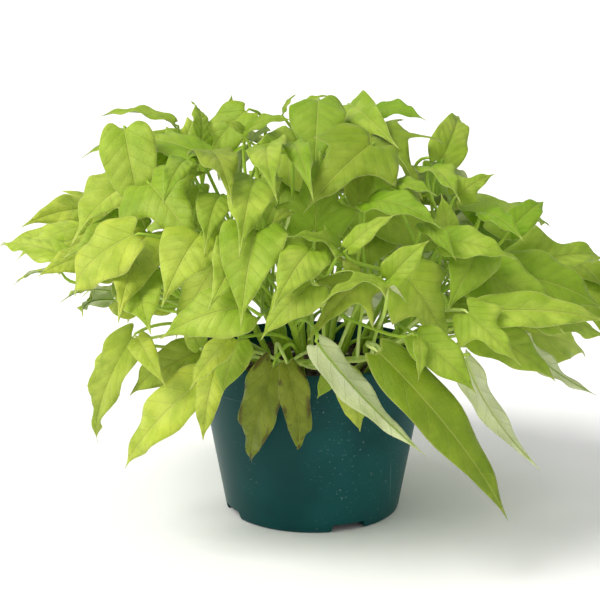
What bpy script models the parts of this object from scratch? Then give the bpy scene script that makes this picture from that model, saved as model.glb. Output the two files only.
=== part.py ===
"""A sweet potato vine growing in a green plastic nursery pot.

Metres, +Z up. The origin is the centre of the pot's underside, and -Y is the side that
faces the viewer in the photograph. Every vine is one solid: its stem, rooted in a plain
hole in the soil, with the petioles and leaf blades that grow from it.
"""

import functools
import math
import random

import bmesh
import bpy
from mathutils import Matrix, Vector
from mathutils.bvhtree import BVHTree
from mathutils.geometry import delaunay_2d_cdt

MM = 0.001
UP = Vector((0, 0, 1))
MERGE_DISTANCE = 0.01 * MM
OUTLINE_TOLERANCE = 1e-7

# Pot, a six inch azalea pot
POT_HEIGHT = 108 * MM
RIM_RADIUS = 76 * MM
RIM_BAND = 21 * MM
RIM_STEP = 1.4 * MM
RIM_TAPER = 1.2 * MM
RIM_BEVEL = 0.8 * MM
BAND_FILLET = 1 * MM
FOOT_RADIUS = 57.5 * MM
POT_WALL = 2.2 * MM
POT_FLOOR = 3 * MM
FOOT_BEVEL = 1 * MM
POT_SIDES = 40
NOTCH_COUNT = 4
NOTCH_FIRST = math.radians(-66)
NOTCH_WIDTH = 27 * MM
NOTCH_HEIGHT = 5 * MM
NOTCH_DEPTH = 14 * MM
NOTCH_TAPER = 0.8
POT_ROOM = 1.5 * MM
POT_COLOUR = (0.006, 0.06, 0.055)
POT_ROUGHNESS = 0.45

# Soil
SOIL_TOP = 94 * MM
SOIL_CROWN = 3 * MM
SOIL_RINGS = 4
SOIL_RELIEF = 1.3 * MM
SOIL_WAVES = (9 * MM, 7 * MM, 13 * MM)
SOIL_PHASE = 1.3
SOIL_COLOUR = (0.035, 0.022, 0.014)
SOIL_ROUGHNESS = 0.95
FIT_GAP = 0.3 * MM

# Vines
VINE_COUNT = 17
ROOT_DEPTH = 16 * MM
ROOT_SPREAD = 52 * MM
STEM_RADIUS = 2.2 * MM
STEM_TIP_RADIUS = 1.5 * MM
STEM_SIDES = 6
STEM_STEPS = 3
STEM_ROOM = 0.4 * MM
COLLAR_RISE = 6 * MM
NODES_PER_VINE = 14
NODE_STEPS = 12
LOWEST_NODE = SOIL_TOP + 9 * MM
FIRST_VINE_ANGLE = 0.9
FIRST_ROOT = 0.7
GOLDEN_ANGLE = math.pi * (3 - math.sqrt(5))

# How far a stem leans out and climbs, up to its middle and from there to its tip, at the centre
# of the pot, and how much that changes towards the pot's edge
LOWER_LEAN = (6 * MM, 22 * MM)
LOWER_CLIMB = (38 * MM, -8 * MM)
UPPER_LEAN = (10 * MM, 34 * MM)
UPPER_CLIMB = (48 * MM, -22 * MM)

# Stems that creep over the rim in front, from foot to tip, in millimetres
TRAILING_STEMS = [
    [(-34, -34, 78.3), (-34, -34, 100), (-20, -62, 112), (10, -78, 118), (44, -88, 124)],
    [(-22, -18, 78.3), (-22, -18, 101), (-42, -34, 118), (-62, -58, 124)],
    [(26, -38, 78.3), (26, -38, 101), (42, -52, 120), (66, -66, 132)],
]

# Leaves
LEAF_LIMIT = 163
LEAF_SEED = 63
LEAF_COLOUR = (0.40, 0.58, 0.035)
LEAF_ROUGHNESS = 0.5
BLADE_THICKNESS = 0.7 * MM
BLADE_ROOM = 1.1 * MM
JOINT_HALF_SHARE = 0.024

# How a blade bends: the arch of its midrib, its fold, the droop of its margins and its twist
ARCHES = (0.6, 1.25)
FOLDS = (0.12, 0.34)
DROOPS = (0.5, 1.1)
TWISTS = (-0.45, 0.45)

# How much a blade in front faces the viewer, the sky and outward
TO_VIEWER, TO_SKY, OUTWARD = 0.75, 0.55, 0.35

# Petioles, and what a node costs a leaf that lies off its way
PETIOLE_STEPS = 2
PETIOLE_HALF_SIDE = 0.95 * MM
PETIOLE_ROOM = 1.6 * MM
PETIOLE_NECK = 2.5 * MM
PETIOLE_DROP = 0.55
NECK_REACH = 0.33
ROOT_REACH = 0.36
PETIOLE_WAYS = ((0.7, 0), (0.3, 0.35), (0.3, -0.35), (1.2, 0), (0.8, 0.7), (0.8, -0.7), (-0.3, 0))
LEAST_PETIOLE = 16 * MM
USUAL_PETIOLE = 62 * MM
LEAST_CLIMB = 10 * MM
CLIMB_COST = 1.5
SIDEWAYS_COST = 30 * MM
NODE_CHOICES = 80
OFF_AXIS = Vector((0.31, 0.95, 0.1))

# Leaves that the photograph shows: how far one may move in depth or roll to find room
SEEN_SHIFTS = [shift * MM for shift in (0, -5, 5, -10, 10, -16, 16, 24, 32, -24, 40)]
SEEN_ROLLS = (0, 14, -14, 30, -30)
LEAST_SHOWN = 0.55

# A seen leaf is no longer than this unless it shows so, or recedes by this share of what shows
LONGEST_LEAF = 92 * MM
LEAST_DEPTH = 0.45

# Leaves that close the gaps which the crown shows from the front, at an even scatter of pixels
GAP_TRIES = 700
PLASTIC_NUMBER = 1.32471795724
GAP_CORNER = (-10, 95)
GAP_SPAN = (620, 240)
GAP_LAYERS = (0.95, 0.88, 0.8, 0.72, 0.64, 0.55)
GAP_TURNS = (0, 0.5, -0.5, 1.0, -1.0)
GAP_SIZES = ((1, 0.5), (1, 0.3), (0.8, 0.5))
GAP_YAW = 1.1
GAP_FALL = (0.35, 1.2)

# Leaves that grow where light still falls on the crown's inside, from any side
FILL_TRIES = 997
FILL_STRIDE = 389
FILL_LAYERS = (0.80, 0.62, 0.72, 0.50)
FILL_LENGTHS = (50, 80)
FILL_FORMS = ("heart", "lobed", "heart", "star", "oval", "heart", "lobed")
FILL_WIDTH = 0.85
FILL_FLOOR = 84 * MM
FILL_TURNS = (0, 0.3, -0.3, 0.6, -0.6)
FILL_INWARD = (0, 8 * MM, 16 * MM)
FILL_YAW = 0.9
FILL_FALL = (0.05, 0.95)
FILL_TOP_YAW, FILL_TOP_FALL = 1.5, 1.1
FILL_LEAN = 0.5
FILL_SKY, FILL_OUTWARD = 0.8, 0.7
FILL_SPHERE = 1.3
LIGHT_LAYER = 1.5

# Half outlines, from the petiole to the tip, for a blade one unit long, then the rib points
FORMS = {
    "heart": ([(0.20, -0.13), (0.38, 0.08), (0.28, 0.46), (0.06, 0.80)], (0.14, 0.56)),
    "oval": ([(0.17, -0.06), (0.32, 0.16), (0.25, 0.54), (0.05, 0.84)], (0.14, 0.56)),
    "lobed": (
        [(0.19, -0.14), (0.36, -0.04), (0.58, 0.26), (0.28, 0.34), (0.20, 0.58), (0.05, 0.83)],
        (0.14, 0.54),
    ),
    "star": (
        [(0.15, -0.10), (0.42, -0.08), (0.26, 0.12), (0.56, 0.46), (0.20, 0.38), (0.05, 0.82)],
        (0.14, 0.50),
    ),
    "lance": ([(0.10, -0.02), (0.19, 0.20), (0.14, 0.56), (0.035, 0.84)], (0.14, 0.56)),
}

# The photograph's view, which places the leaves that it shows
PICTURE_CENTRE = 300
FOCAL_PX = 1470
CAMERA = Vector((0, -940, 342)) * MM
CAMERA_PITCH = math.radians(12.17)
CAMERA_YAW = math.radians(0.507)

# The crown's outer surface, an ellipsoid; a layer is a share of its size
CROWN_CENTRE = Vector((-4, 0, 128)) * MM
CROWN_AXES = Vector((188, 182, 142)) * MM

# Each leaf that shows in the photograph: form, width, and the pixels and layers of its joint
# and its tip, with the roll of the blade in degrees
SEEN_LEAVES = [
    # Over the rim in front
    ("lance", 0.66, (378, 352, 0.84), (508, 521, 1.0), 0),
    ("lance", 0.62, (318, 344, 0.84), (427, 457, 0.92), 180),
    ("oval", 0.85, (346, 373, 0.66), (360, 432, 0.66), 0),
    ("oval", 0.9, (334, 371, 0.7), (317, 399, 0.72), 0),
    ("oval", 0.7, (273, 366, 0.6), (252, 463, 0.62), 0),
    ("lance", 0.95, (287, 364, 0.6), (297, 450, 0.62), 0),
    # Middle leaves that lie over their neighbours
    ("oval", 0.8, (188, 160, 0.98), (162, 208, 1.07), 0),
    ("oval", 0.9, (206, 155, 0.93), (233, 207, 1.03), 0),
    ("lance", 1.0, (292, 145, 0.96), (314, 203, 1.03), 0),
    ("oval", 0.9, (389, 280, 0.93), (430, 240, 1.03), 0),
    # Left side
    ("heart", 1.0, (148, 233, 0.84), (118, 324, 1.0), 0),
    ("heart", 0.9, (146, 232, 0.78), (63, 259, 0.98), 10),
    ("oval", 0.9, (66, 257, 0.92), (-6, 247, 1.12), 25),
    ("lobed", 0.9, (107, 214, 0.82), (20, 228, 1.08), 0),
    ("lance", 1.3, (90, 226, 0.80), (16, 261, 1.02), 15),
    ("oval", 0.8, (94, 254, 0.86), (37, 277, 1.02), -10),
    ("oval", 0.6, (58, 272, 0.80), (13, 286, 1.0), 60),
    ("lance", 0.8, (111, 291, 0.7), (60, 303, 0.92), 40),
    ("lance", 0.8, (114, 300, 0.66), (83, 317, 0.86), 40),
    # Upper left
    ("lance", 1.0, (175, 124, 0.96), (96, 118, 1.04), 20),
    ("star", 0.8, (197, 153, 0.90), (81, 159, 1.05), 0),
    ("oval", 0.7, (147, 148, 0.9), (117, 127, 1.0), 30),
    ("lobed", 1.0, (193, 150, 0.82), (142, 132, 1.0), 0),
    ("heart", 0.8, (200, 145, 0.9), (189, 100, 0.99), 20),
    ("heart", 1.1, (230, 121, 0.9), (232, 94, 1.0), 0),
    # Top
    ("oval", 0.9, (283, 112, 0.9), (297, 94, 1.0), -30),
    ("heart", 0.6, (243, 131, 0.96), (219, 121, 1.02), 0),
    ("oval", 0.7, (246, 132, 0.96), (294, 120, 1.04), 0),
    ("oval", 1.0, (318, 148, 0.86), (247, 149, 1.0), 0),
    ("lance", 1.0, (300, 108, 0.93), (330, 96, 1.0), 0),
    ("lobed", 0.9, (352, 128, 0.88), (360, 97, 0.98), 0),
    ("heart", 0.9, (372, 112, 0.9), (427, 121, 1.0), 0),
    ("lance", 1.2, (349, 104, 0.96), (400, 150, 1.04), 0),
    # Middle
    ("heart", 0.95, (255, 180, 0.9), (239, 259, 1.02), 0),
    ("heart", 0.85, (268, 147, 0.97), (278, 204, 1.05), 0),
    ("lobed", 0.9, (315, 231, 0.84), (320, 150, 0.96), 0),
    ("oval", 0.7, (360, 202, 0.86), (351, 132, 0.98), 0),
    ("heart", 0.9, (220, 197, 0.88), (204, 257, 0.98), 0),
    ("heart", 0.7, (289, 211, 0.95), (269, 228, 1.02), 0),
    ("heart", 0.85, (311, 250, 0.93), (271, 314, 1.04), 0),
    ("heart", 0.9, (241, 245, 0.9), (207, 312, 1.03), -20),
    ("lance", 0.9, (307, 247, 0.83), (257, 254, 0.95), 0),
    ("lobed", 0.7, (338, 249, 0.87), (285, 237, 0.99), 0),
    ("lance", 1.0, (347, 249, 0.93), (397, 214, 1.03), 0),
    ("star", 1.0, (385, 284, 0.93), (321, 305, 1.04), 0),
    ("oval", 0.8, (368, 203, 0.9), (441, 229, 1.03), 0),
    ("oval", 0.7, (396, 184, 0.95), (438, 197, 1.04), 0),
    # Upper right
    ("heart", 0.9, (428, 168, 0.88), (461, 204, 1.0), 0),
    ("heart", 1.0, (443, 158, 0.92), (455, 116, 1.0), 0),
    ("lobed", 0.8, (458, 195, 0.9), (495, 174, 1.0), 0),
    ("oval", 1.0, (509, 232, 0.9), (544, 202, 1.0), 0),
    ("lance", 1.2, (482, 213, 0.9), (524, 242, 1.03), 0),
    ("heart", 0.8, (449, 241, 0.93), (517, 260, 1.04), 0),
    ("oval", 0.9, (446, 241, 0.86), (441, 193, 0.98), 0),
    ("oval", 0.6, (423, 224, 0.93), (457, 262, 1.03), 0),
    # Right side
    ("lobed", 0.75, (520, 269, 0.84), (606, 262, 1.02), 0),
    ("lance", 0.8, (476, 313, 0.9), (608, 322, 1.12), 0),
    ("oval", 0.8, (516, 313, 0.8), (612, 346, 1.02), -20),
    ("lobed", 0.7, (468, 313, 0.92), (522, 367, 1.05), 0),
    ("oval", 0.7, (466, 327, 0.82), (556, 382, 1.0), 0),
    ("lance", 0.75, (518, 336, 0.78), (598, 396, 0.98), 180),
    ("lance", 0.62, (466, 358, 0.84), (541, 471, 1.0), 180),
    ("oval", 0.8, (416, 336, 0.88), (476, 394, 1.0), 0),
    ("lance", 0.9, (418, 338, 0.92), (418, 381, 0.97), 0),
    ("lance", 0.9, (430, 338, 0.86), (437, 377, 0.92), 0),
    # Over the rim on the left
    ("oval", 0.62, (133, 337, 0.74), (98, 443, 0.86), 0),
    ("lance", 1.2, (137, 338, 0.78), (166, 387, 0.86), 0),
    ("lance", 1.1, (207, 376, 0.72), (125, 469, 0.84), 0),
    ("lance", 0.95, (216, 366, 0.76), (203, 441, 0.82), 0),
    ("oval", 1.0, (238, 340, 0.72), (222, 396, 0.8), 0),
    ("lance", 1.1, (231, 338, 0.82), (190, 390, 0.88), 0),
    ("oval", 0.9, (200, 347, 0.74), (181, 316, 0.8), 0),
    ("oval", 0.7, (204, 350, 0.66), (130, 396, 0.78), 0),
    ("lance", 1.1, (127, 344, 0.70), (89, 388, 0.82), 0),
]

# The crown's outline in the photograph, which the other leaves stay inside
CROWN_OUTLINE = [
    (0, 290), (-14, 250), (8, 224), (72, 186), (84, 156), (104, 118), (150, 104), (196, 98),
    (250, 95), (300, 95), (356, 97), (424, 120), (455, 124), (495, 175), (545, 206), (600, 254),
    (616, 300), (610, 350), (540, 372), (440, 350), (430, 345), (150, 340), (116, 318), (60, 300),
]


def clear_scene():
    for obj in list(bpy.data.objects):
        bpy.data.objects.remove(obj, do_unlink=True)


def new_collection(name):
    collection = bpy.data.collections.new(name)
    bpy.context.scene.collection.children.link(collection)
    return collection


def material(name, colour, roughness, metallic=0.0):
    made = bpy.data.materials.new(name)
    made.use_nodes = True
    shader = made.node_tree.nodes["Principled BSDF"]
    shader.inputs["Base Color"].default_value = (*colour, 1)
    shader.inputs["Roughness"].default_value = roughness
    shader.inputs["Metallic"].default_value = metallic
    return made


def place(name, mesh, collection, look=None):
    obj = bpy.data.objects.new(name, mesh)
    collection.objects.link(obj)
    if look:
        mesh.materials.clear()
        mesh.materials.append(look)
    return obj


def mesh_of(name, bm):
    mesh = bpy.data.meshes.new(name)
    bm.to_mesh(mesh)
    bm.free()
    return mesh


def turned(name, profile, steps, collection, look=None):
    """A profile of (radius, height) points, down its outer side first, turned about Z."""
    bm = bmesh.new()
    points = [bm.verts.new((radius, 0, height)) for radius, height in profile]
    for first, second in zip(points, points[1:]):
        bm.edges.new((first, second))
    obj = place(name, mesh_of(name, bm), collection, look)
    screw = obj.modifiers.new("turn", "SCREW")
    screw.steps = screw.render_steps = steps
    screw.use_merge_vertices = True
    screw.merge_threshold = MERGE_DISTANCE
    return obj


def boolean(obj, name, operation, solver="EXACT", other=None, collection=None):
    modifier = obj.modifiers.new(name, "BOOLEAN")
    modifier.operation = operation
    modifier.solver = solver
    if collection:
        modifier.operand_type = "COLLECTION"
        modifier.collection = collection
    else:
        modifier.object = other
    return modifier


def applied(obj):
    """Replaces the object's mesh by its evaluated one, and drops its modifiers."""
    graph = bpy.context.evaluated_depsgraph_get()
    mesh = bpy.data.meshes.new_from_object(obj.evaluated_get(graph))
    obj.modifiers.clear()
    obj.data = mesh
    return obj


# Pot and soil


def wall_radius(height):
    """The pot's outer radius under its rim band."""
    top = RIM_RADIUS - RIM_STEP - RIM_TAPER
    return FOOT_RADIUS + (top - FOOT_RADIUS) * height / (POT_HEIGHT - RIM_BAND)


def inner_radius(height):
    """The radius of the pot's inside, which steepens behind the rim band."""
    band_foot = POT_HEIGHT - RIM_BAND
    if height <= band_foot:
        return wall_radius(height) - POT_WALL
    share = (height - band_foot) / RIM_BAND
    return (wall_radius(band_foot) * (1 - share) + RIM_RADIUS * share) - POT_WALL


def build_pot(collection, cutters, look):
    band_foot = POT_HEIGHT - RIM_BAND
    profile = [
        (RIM_RADIUS - RIM_BEVEL, POT_HEIGHT),
        (RIM_RADIUS, POT_HEIGHT - RIM_BEVEL),
        (RIM_RADIUS - RIM_TAPER, band_foot + BAND_FILLET),
        (wall_radius(band_foot), band_foot),
        (FOOT_RADIUS, FOOT_BEVEL),
        (FOOT_RADIUS - FOOT_BEVEL, 0),
        (0, 0),
        (0, POT_FLOOR),
        (inner_radius(POT_FLOOR), POT_FLOOR),
        (inner_radius(band_foot), band_foot),
        (RIM_RADIUS - POT_WALL, POT_HEIGHT),
    ]
    pot = turned("pot", [*profile, profile[0]], POT_SIDES, collection, look)
    for index in range(NOTCH_COUNT):
        angle = NOTCH_FIRST + index * math.tau / NOTCH_COUNT - math.pi / 2
        bm = bmesh.new()
        bmesh.ops.create_cube(bm, size=1)
        for vertex in bm.verts:
            taper = NOTCH_TAPER if vertex.co.z > 0 else 1.0
            vertex.co.x *= 2 * NOTCH_DEPTH
            vertex.co.y *= NOTCH_WIDTH * taper
            vertex.co.z *= 2 * NOTCH_HEIGHT
        cutter = place(f"notch_cutter_{index}", mesh_of("notch_cutter", bm), cutters)
        cutter.location = (FOOT_RADIUS * math.cos(angle), FOOT_RADIUS * math.sin(angle), 0)
        cutter.rotation_euler.z = angle
        cutter.hide_render = True
        cutter.display_type = "WIRE"
        boolean(pot, f"notch_{index}", "DIFFERENCE", other=cutter)
    return pot


def soil_height(x, y):
    """The soil's surface: a low crown with soft lumps."""
    share = min(1, math.hypot(x, y) / inner_radius(SOIL_TOP))
    first, second, third = SOIL_WAVES
    lumps = math.sin(x / first + SOIL_PHASE) * math.cos(y / second) + math.sin((x + y) / third)
    return SOIL_TOP + SOIL_CROWN * (1 - share**2) + SOIL_RELIEF * lumps * (1 - share**4) / 2


def build_soil(collection, cutters, look, stems):
    top_radius = inner_radius(SOIL_TOP) - FIT_GAP
    floor = max(POT_FLOOR, NOTCH_HEIGHT) + FIT_GAP
    rings = [top_radius * (SOIL_RINGS - ring) / SOIL_RINGS for ring in range(SOIL_RINGS + 1)]
    profile = [(radius, SOIL_TOP) for radius in reversed(rings)]
    profile += [(inner_radius(floor) - FIT_GAP, floor), (0, floor)]
    soil = applied(turned("soil", profile, POT_SIDES, collection, look))
    for vertex in soil.data.vertices:
        if vertex.co.z > SOIL_TOP - FIT_GAP:
            vertex.co.z = soil_height(vertex.co.x, vertex.co.y)
    for index, stem in enumerate(stems):
        bm = bmesh.new()
        bmesh.ops.create_cone(
            bm,
            cap_ends=True,
            segments=STEM_SIDES,
            radius1=STEM_RADIUS + 2 * FIT_GAP,
            radius2=STEM_RADIUS + 2 * FIT_GAP,
            depth=2 * ROOT_DEPTH,
        )
        cutter = place(f"hole_cutter_{index}", mesh_of("hole_cutter", bm), cutters)
        cutter.location = (stem[0].x, stem[0].y, SOIL_TOP)
        cutter.hide_render = True
        cutter.display_type = "WIRE"
        boolean(soil, f"hole_{index}", "DIFFERENCE", other=cutter)
    return soil


# Growth: where the stems, blades and petioles are


def view_axes():
    """The directions ahead, to the right and up in the photograph's view."""
    ahead = Vector((-math.sin(CAMERA_YAW), math.cos(CAMERA_YAW), 0)) * math.cos(CAMERA_PITCH)
    ahead -= UP * math.sin(CAMERA_PITCH)
    right = Vector((math.cos(CAMERA_YAW), math.sin(CAMERA_YAW), 0))
    return ahead, right, right.cross(ahead)


def through_pixel(x, y):
    """The direction from the camera through a pixel of the photograph."""
    ahead, right, up = view_axes()
    return (ahead * FOCAL_PX + right * (x - PICTURE_CENTRE) + up * (PICTURE_CENTRE - y)).normalized()


def pixel_of(point):
    """The pixel of the photograph that a point lies behind."""
    ahead, right, up = view_axes()
    away = point - CAMERA
    scale = FOCAL_PX / away.dot(ahead)
    return PICTURE_CENTRE + away.dot(right) * scale, PICTURE_CENTRE - away.dot(up) * scale


def scaled(vector, factors):
    return Vector(a * b for a, b in zip(vector, factors))


def on_crown(x, y, layer):
    """The nearest point of a crown layer behind a pixel, or the point where the view just passes it."""
    shrink = [1 / (axis * layer) for axis in CROWN_AXES]
    ray = through_pixel(x, y)
    start = scaled(CAMERA - CROWN_CENTRE, shrink)
    step = scaled(ray, shrink)
    half_b = start.dot(step)
    a = step.length_squared
    inside = half_b**2 - a * (start.length_squared - 1)
    return CAMERA + ray * (-half_b - math.sqrt(max(0, inside))) / a


def in_outline(x, y):
    """Whether a pixel is inside the crown's outline in the photograph."""
    inside = False
    previous = CROWN_OUTLINE[-1]
    for corner in CROWN_OUTLINE:
        if (corner[1] > y) != (previous[1] > y):
            crossing = corner[0] + (y - corner[1]) * (previous[0] - corner[0]) / (previous[1] - corner[1])
            if x < crossing:
                inside = not inside
        previous = corner
    return inside


def facing_normal(point):
    """The way a blade in front faces: to the viewer, the sky and outward."""
    viewer = (CAMERA - point).normalized()
    outward = (point - CROWN_CENTRE).normalized()
    return viewer * TO_VIEWER + UP * TO_SKY + outward * OUTWARD


class Leaf:
    """One blade. Its midrib is an arc from base to tip that bulges along its normal."""

    def __init__(self, form, width, base, tip, normal, arch, fold, droop, twist):
        self.form = form
        self.width = width
        self.base = base
        self.arch = arch
        self.fold = fold
        self.droop = droop
        self.twist = twist
        self.path = []
        self.vine = None
        along = (tip - base).normalized()
        normal = (normal - along * normal.dot(along)).normalized()
        half = arch / 2
        self.across = along.cross(normal)
        self.forward = along * math.cos(half) + normal * math.sin(half)
        self.normal = normal * math.cos(half) - along * math.sin(half)
        self.length = (tip - base).length * half / math.sin(half)

    def at(self, x, y):
        """The place and the normal of a point (x, y) of the unit outline."""
        turn = self.arch * y
        reach = self.length / self.arch
        rib = self.base + (self.forward * math.sin(turn) - self.normal * (1 - math.cos(turn))) * reach
        tangent = self.forward * math.cos(turn) - self.normal * math.sin(turn)
        normal = self.normal * math.cos(turn) + self.forward * math.sin(turn)
        roll = Matrix.Rotation(self.twist * y, 3, tangent)
        normal = roll @ normal
        across = roll @ self.across
        side = x * self.width * self.length
        lift = abs(side) * math.sin(self.fold) - self.droop * side**2 / self.length
        return rib + across * side * math.cos(self.fold) + normal * lift, normal


@functools.cache
def layout(form):
    """The outline points of a form with its rib points, its triangles, and the outline's count."""
    half, ribs = FORMS[form]
    right = [(JOINT_HALF_SHARE, 0), *half]
    outline = [*right, (0, 1), *[(-x, y) for x, y in reversed(right)]]
    count = len(outline)
    points = [Vector(point) for point in outline] + [Vector((0, rib)) for rib in ribs]
    edges = [(i, (i + 1) % count) for i in range(count)]
    chain = [*range(count, len(points)), len(right)]
    edges += list(zip(chain, chain[1:]))
    triangles = delaunay_2d_cdt(points, edges, [], 1, OUTLINE_TOLERANCE)[2]
    return points, [upward(points, triangle) for triangle in triangles], count


def upward(points, triangle):
    a, b, c = (points[index] for index in triangle)
    return triangle if (b - a).cross(c - a) > 0 else triangle[::-1]


def blade_room(leaf):
    """Both faces of the blade, thickened to the room that it needs."""
    points, triangles, count = layout(leaf.form)
    both = [leaf.at(x, y) for x, y in points]
    corners = [place + normal * BLADE_ROOM for place, normal in both]
    corners += [place - normal * BLADE_ROOM for place, normal in both]
    faces = triangles + [[index + len(points) for index in triangle] for triangle in triangles]
    rim = [(i, (i + 1) % count) for i in range(count)]
    faces += [[a, b, b + len(points), a + len(points)] for a, b in rim]
    return corners, faces


def tube_room(path, radius):
    """A four sided tube along a path."""
    corners = []
    for index, point in enumerate(path):
        along = (path[min(index + 1, len(path) - 1)] - path[max(index - 1, 0)]).normalized()
        side = along.cross(OFF_AXIS).normalized()
        other = along.cross(side)
        corners += [point + side * radius, point + other * radius]
        corners += [point - side * radius, point - other * radius]
    faces = []
    for ring in range(len(path) - 1):
        for turn in range(4):
            a, b = ring * 4 + turn, ring * 4 + (turn + 1) % 4
            faces.append([a, b, b + 4, a + 4])
    return corners, faces


def pot_room():
    """The pot and its soil, with room round them."""
    room = POT_ROOM
    profile = [
        (FOOT_RADIUS + room, 0),
        (RIM_RADIUS + room, POT_HEIGHT - RIM_BAND),
        (RIM_RADIUS + room, POT_HEIGHT + room),
        (RIM_RADIUS - POT_WALL - room, POT_HEIGHT + room),
        (inner_radius(SOIL_TOP) - room, SOIL_TOP + room),
        (1 * MM, SOIL_TOP + SOIL_CROWN + 2 * room),
    ]
    corners, faces = [], []
    for radius, height in profile:
        for side in range(POT_SIDES):
            angle = side * math.tau / POT_SIDES
            corners.append(Vector((radius * math.cos(angle), radius * math.sin(angle), height)))
    for ring in range(len(profile) - 1):
        for side in range(POT_SIDES):
            a, b = ring * POT_SIDES + side, ring * POT_SIDES + (side + 1) % POT_SIDES
            faces.append([a, b, b + POT_SIDES, a + POT_SIDES])
    return corners, faces


class Taken:
    """The room that the placed solids take."""

    def __init__(self):
        self.solids = []

    @staticmethod
    def limits(corners):
        low = [min(corner[axis] for corner in corners) for axis in range(3)]
        high = [max(corner[axis] for corner in corners) for axis in range(3)]
        return low, high

    def add(self, room, owner=None):
        corners, faces = room
        tree = BVHTree.FromPolygons(corners, faces)
        self.solids.append((*self.limits(corners), tree, owner))
        return tree

    def free(self, room, but=None):
        corners, faces = room
        low, high = self.limits(corners)
        tree = None
        for other_low, other_high, other, owner in self.solids:
            if but is not None and owner == but:
                continue
            if any(low[axis] > other_high[axis] or high[axis] < other_low[axis] for axis in range(3)):
                continue
            tree = tree or BVHTree.FromPolygons(corners, faces)
            if tree.overlap(other):
                return False
        return True


def curved(controls, steps):
    """Points along a smooth curve through all the control points."""
    ends = [controls[0] * 2 - controls[1], *controls, controls[-1] * 2 - controls[-2]]
    points = []
    for a, b, c, d in zip(ends, ends[1:], ends[2:], ends[3:]):
        square = a * 2 - b * 5 + c * 4 - d
        cube = b * 3 - a - c * 3 + d
        for step in range(steps):
            t = step / steps
            points.append((b * 2 + (c - a) * t + square * t**2 + cube * t**3) / 2)
    return [*points, controls[-1].copy()]


def stem_line(route, steps):
    """The stem's centre line: upright in its hole, then curved."""
    return [route[0], *curved(route[1:], steps)]


def leaning(pair, share):
    """A measure at the pot's centre, and its change towards the edge, at a share of the way."""
    return pair[0] + pair[1] * share


def stem_routes():
    """The control points of each stem, from its foot in the soil to its tip."""
    routes = [[Vector(point) * MM for point in route] for route in TRAILING_STEMS]
    for index in range(VINE_COUNT):
        angle = index * GOLDEN_ANGLE + FIRST_VINE_ANGLE
        share = math.sqrt((index + FIRST_ROOT) / VINE_COUNT)
        outward = Vector((math.cos(angle), math.sin(angle), 0))
        foot = outward * ROOT_SPREAD * share + UP * (SOIL_TOP - ROOT_DEPTH + FIT_GAP)
        collar = foot + UP * (ROOT_DEPTH + COLLAR_RISE)
        middle = collar + outward * leaning(LOWER_LEAN, share) + UP * leaning(LOWER_CLIMB, share)
        top = middle + outward * leaning(UPPER_LEAN, share) + UP * leaning(UPPER_CLIMB, share)
        routes.append([foot, collar, middle, top])
    return routes


def petiole_path(leaf, root, spring, sway, steps):
    """Points of a petiole from behind its blade down to its root."""
    reach = (leaf.base - root).length
    neck = leaf.base - leaf.forward * PETIOLE_NECK
    back = (leaf.forward * (1 - PETIOLE_DROP) + leaf.normal * PETIOLE_DROP).normalized()
    leave = neck - back * reach * NECK_REACH
    rise = ((leaf.base - root).normalized() + UP * spring + leaf.across * sway).normalized()
    arrive = root + rise * reach * ROOT_REACH
    path = []
    for step in range(steps + 1):
        t = step / steps
        rest = 1 - t
        bent = leave * 3 * t * rest**2 + arrive * 3 * t**2 * rest
        path.append(neck * rest**3 + bent + root * t**3)
    return path


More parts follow.
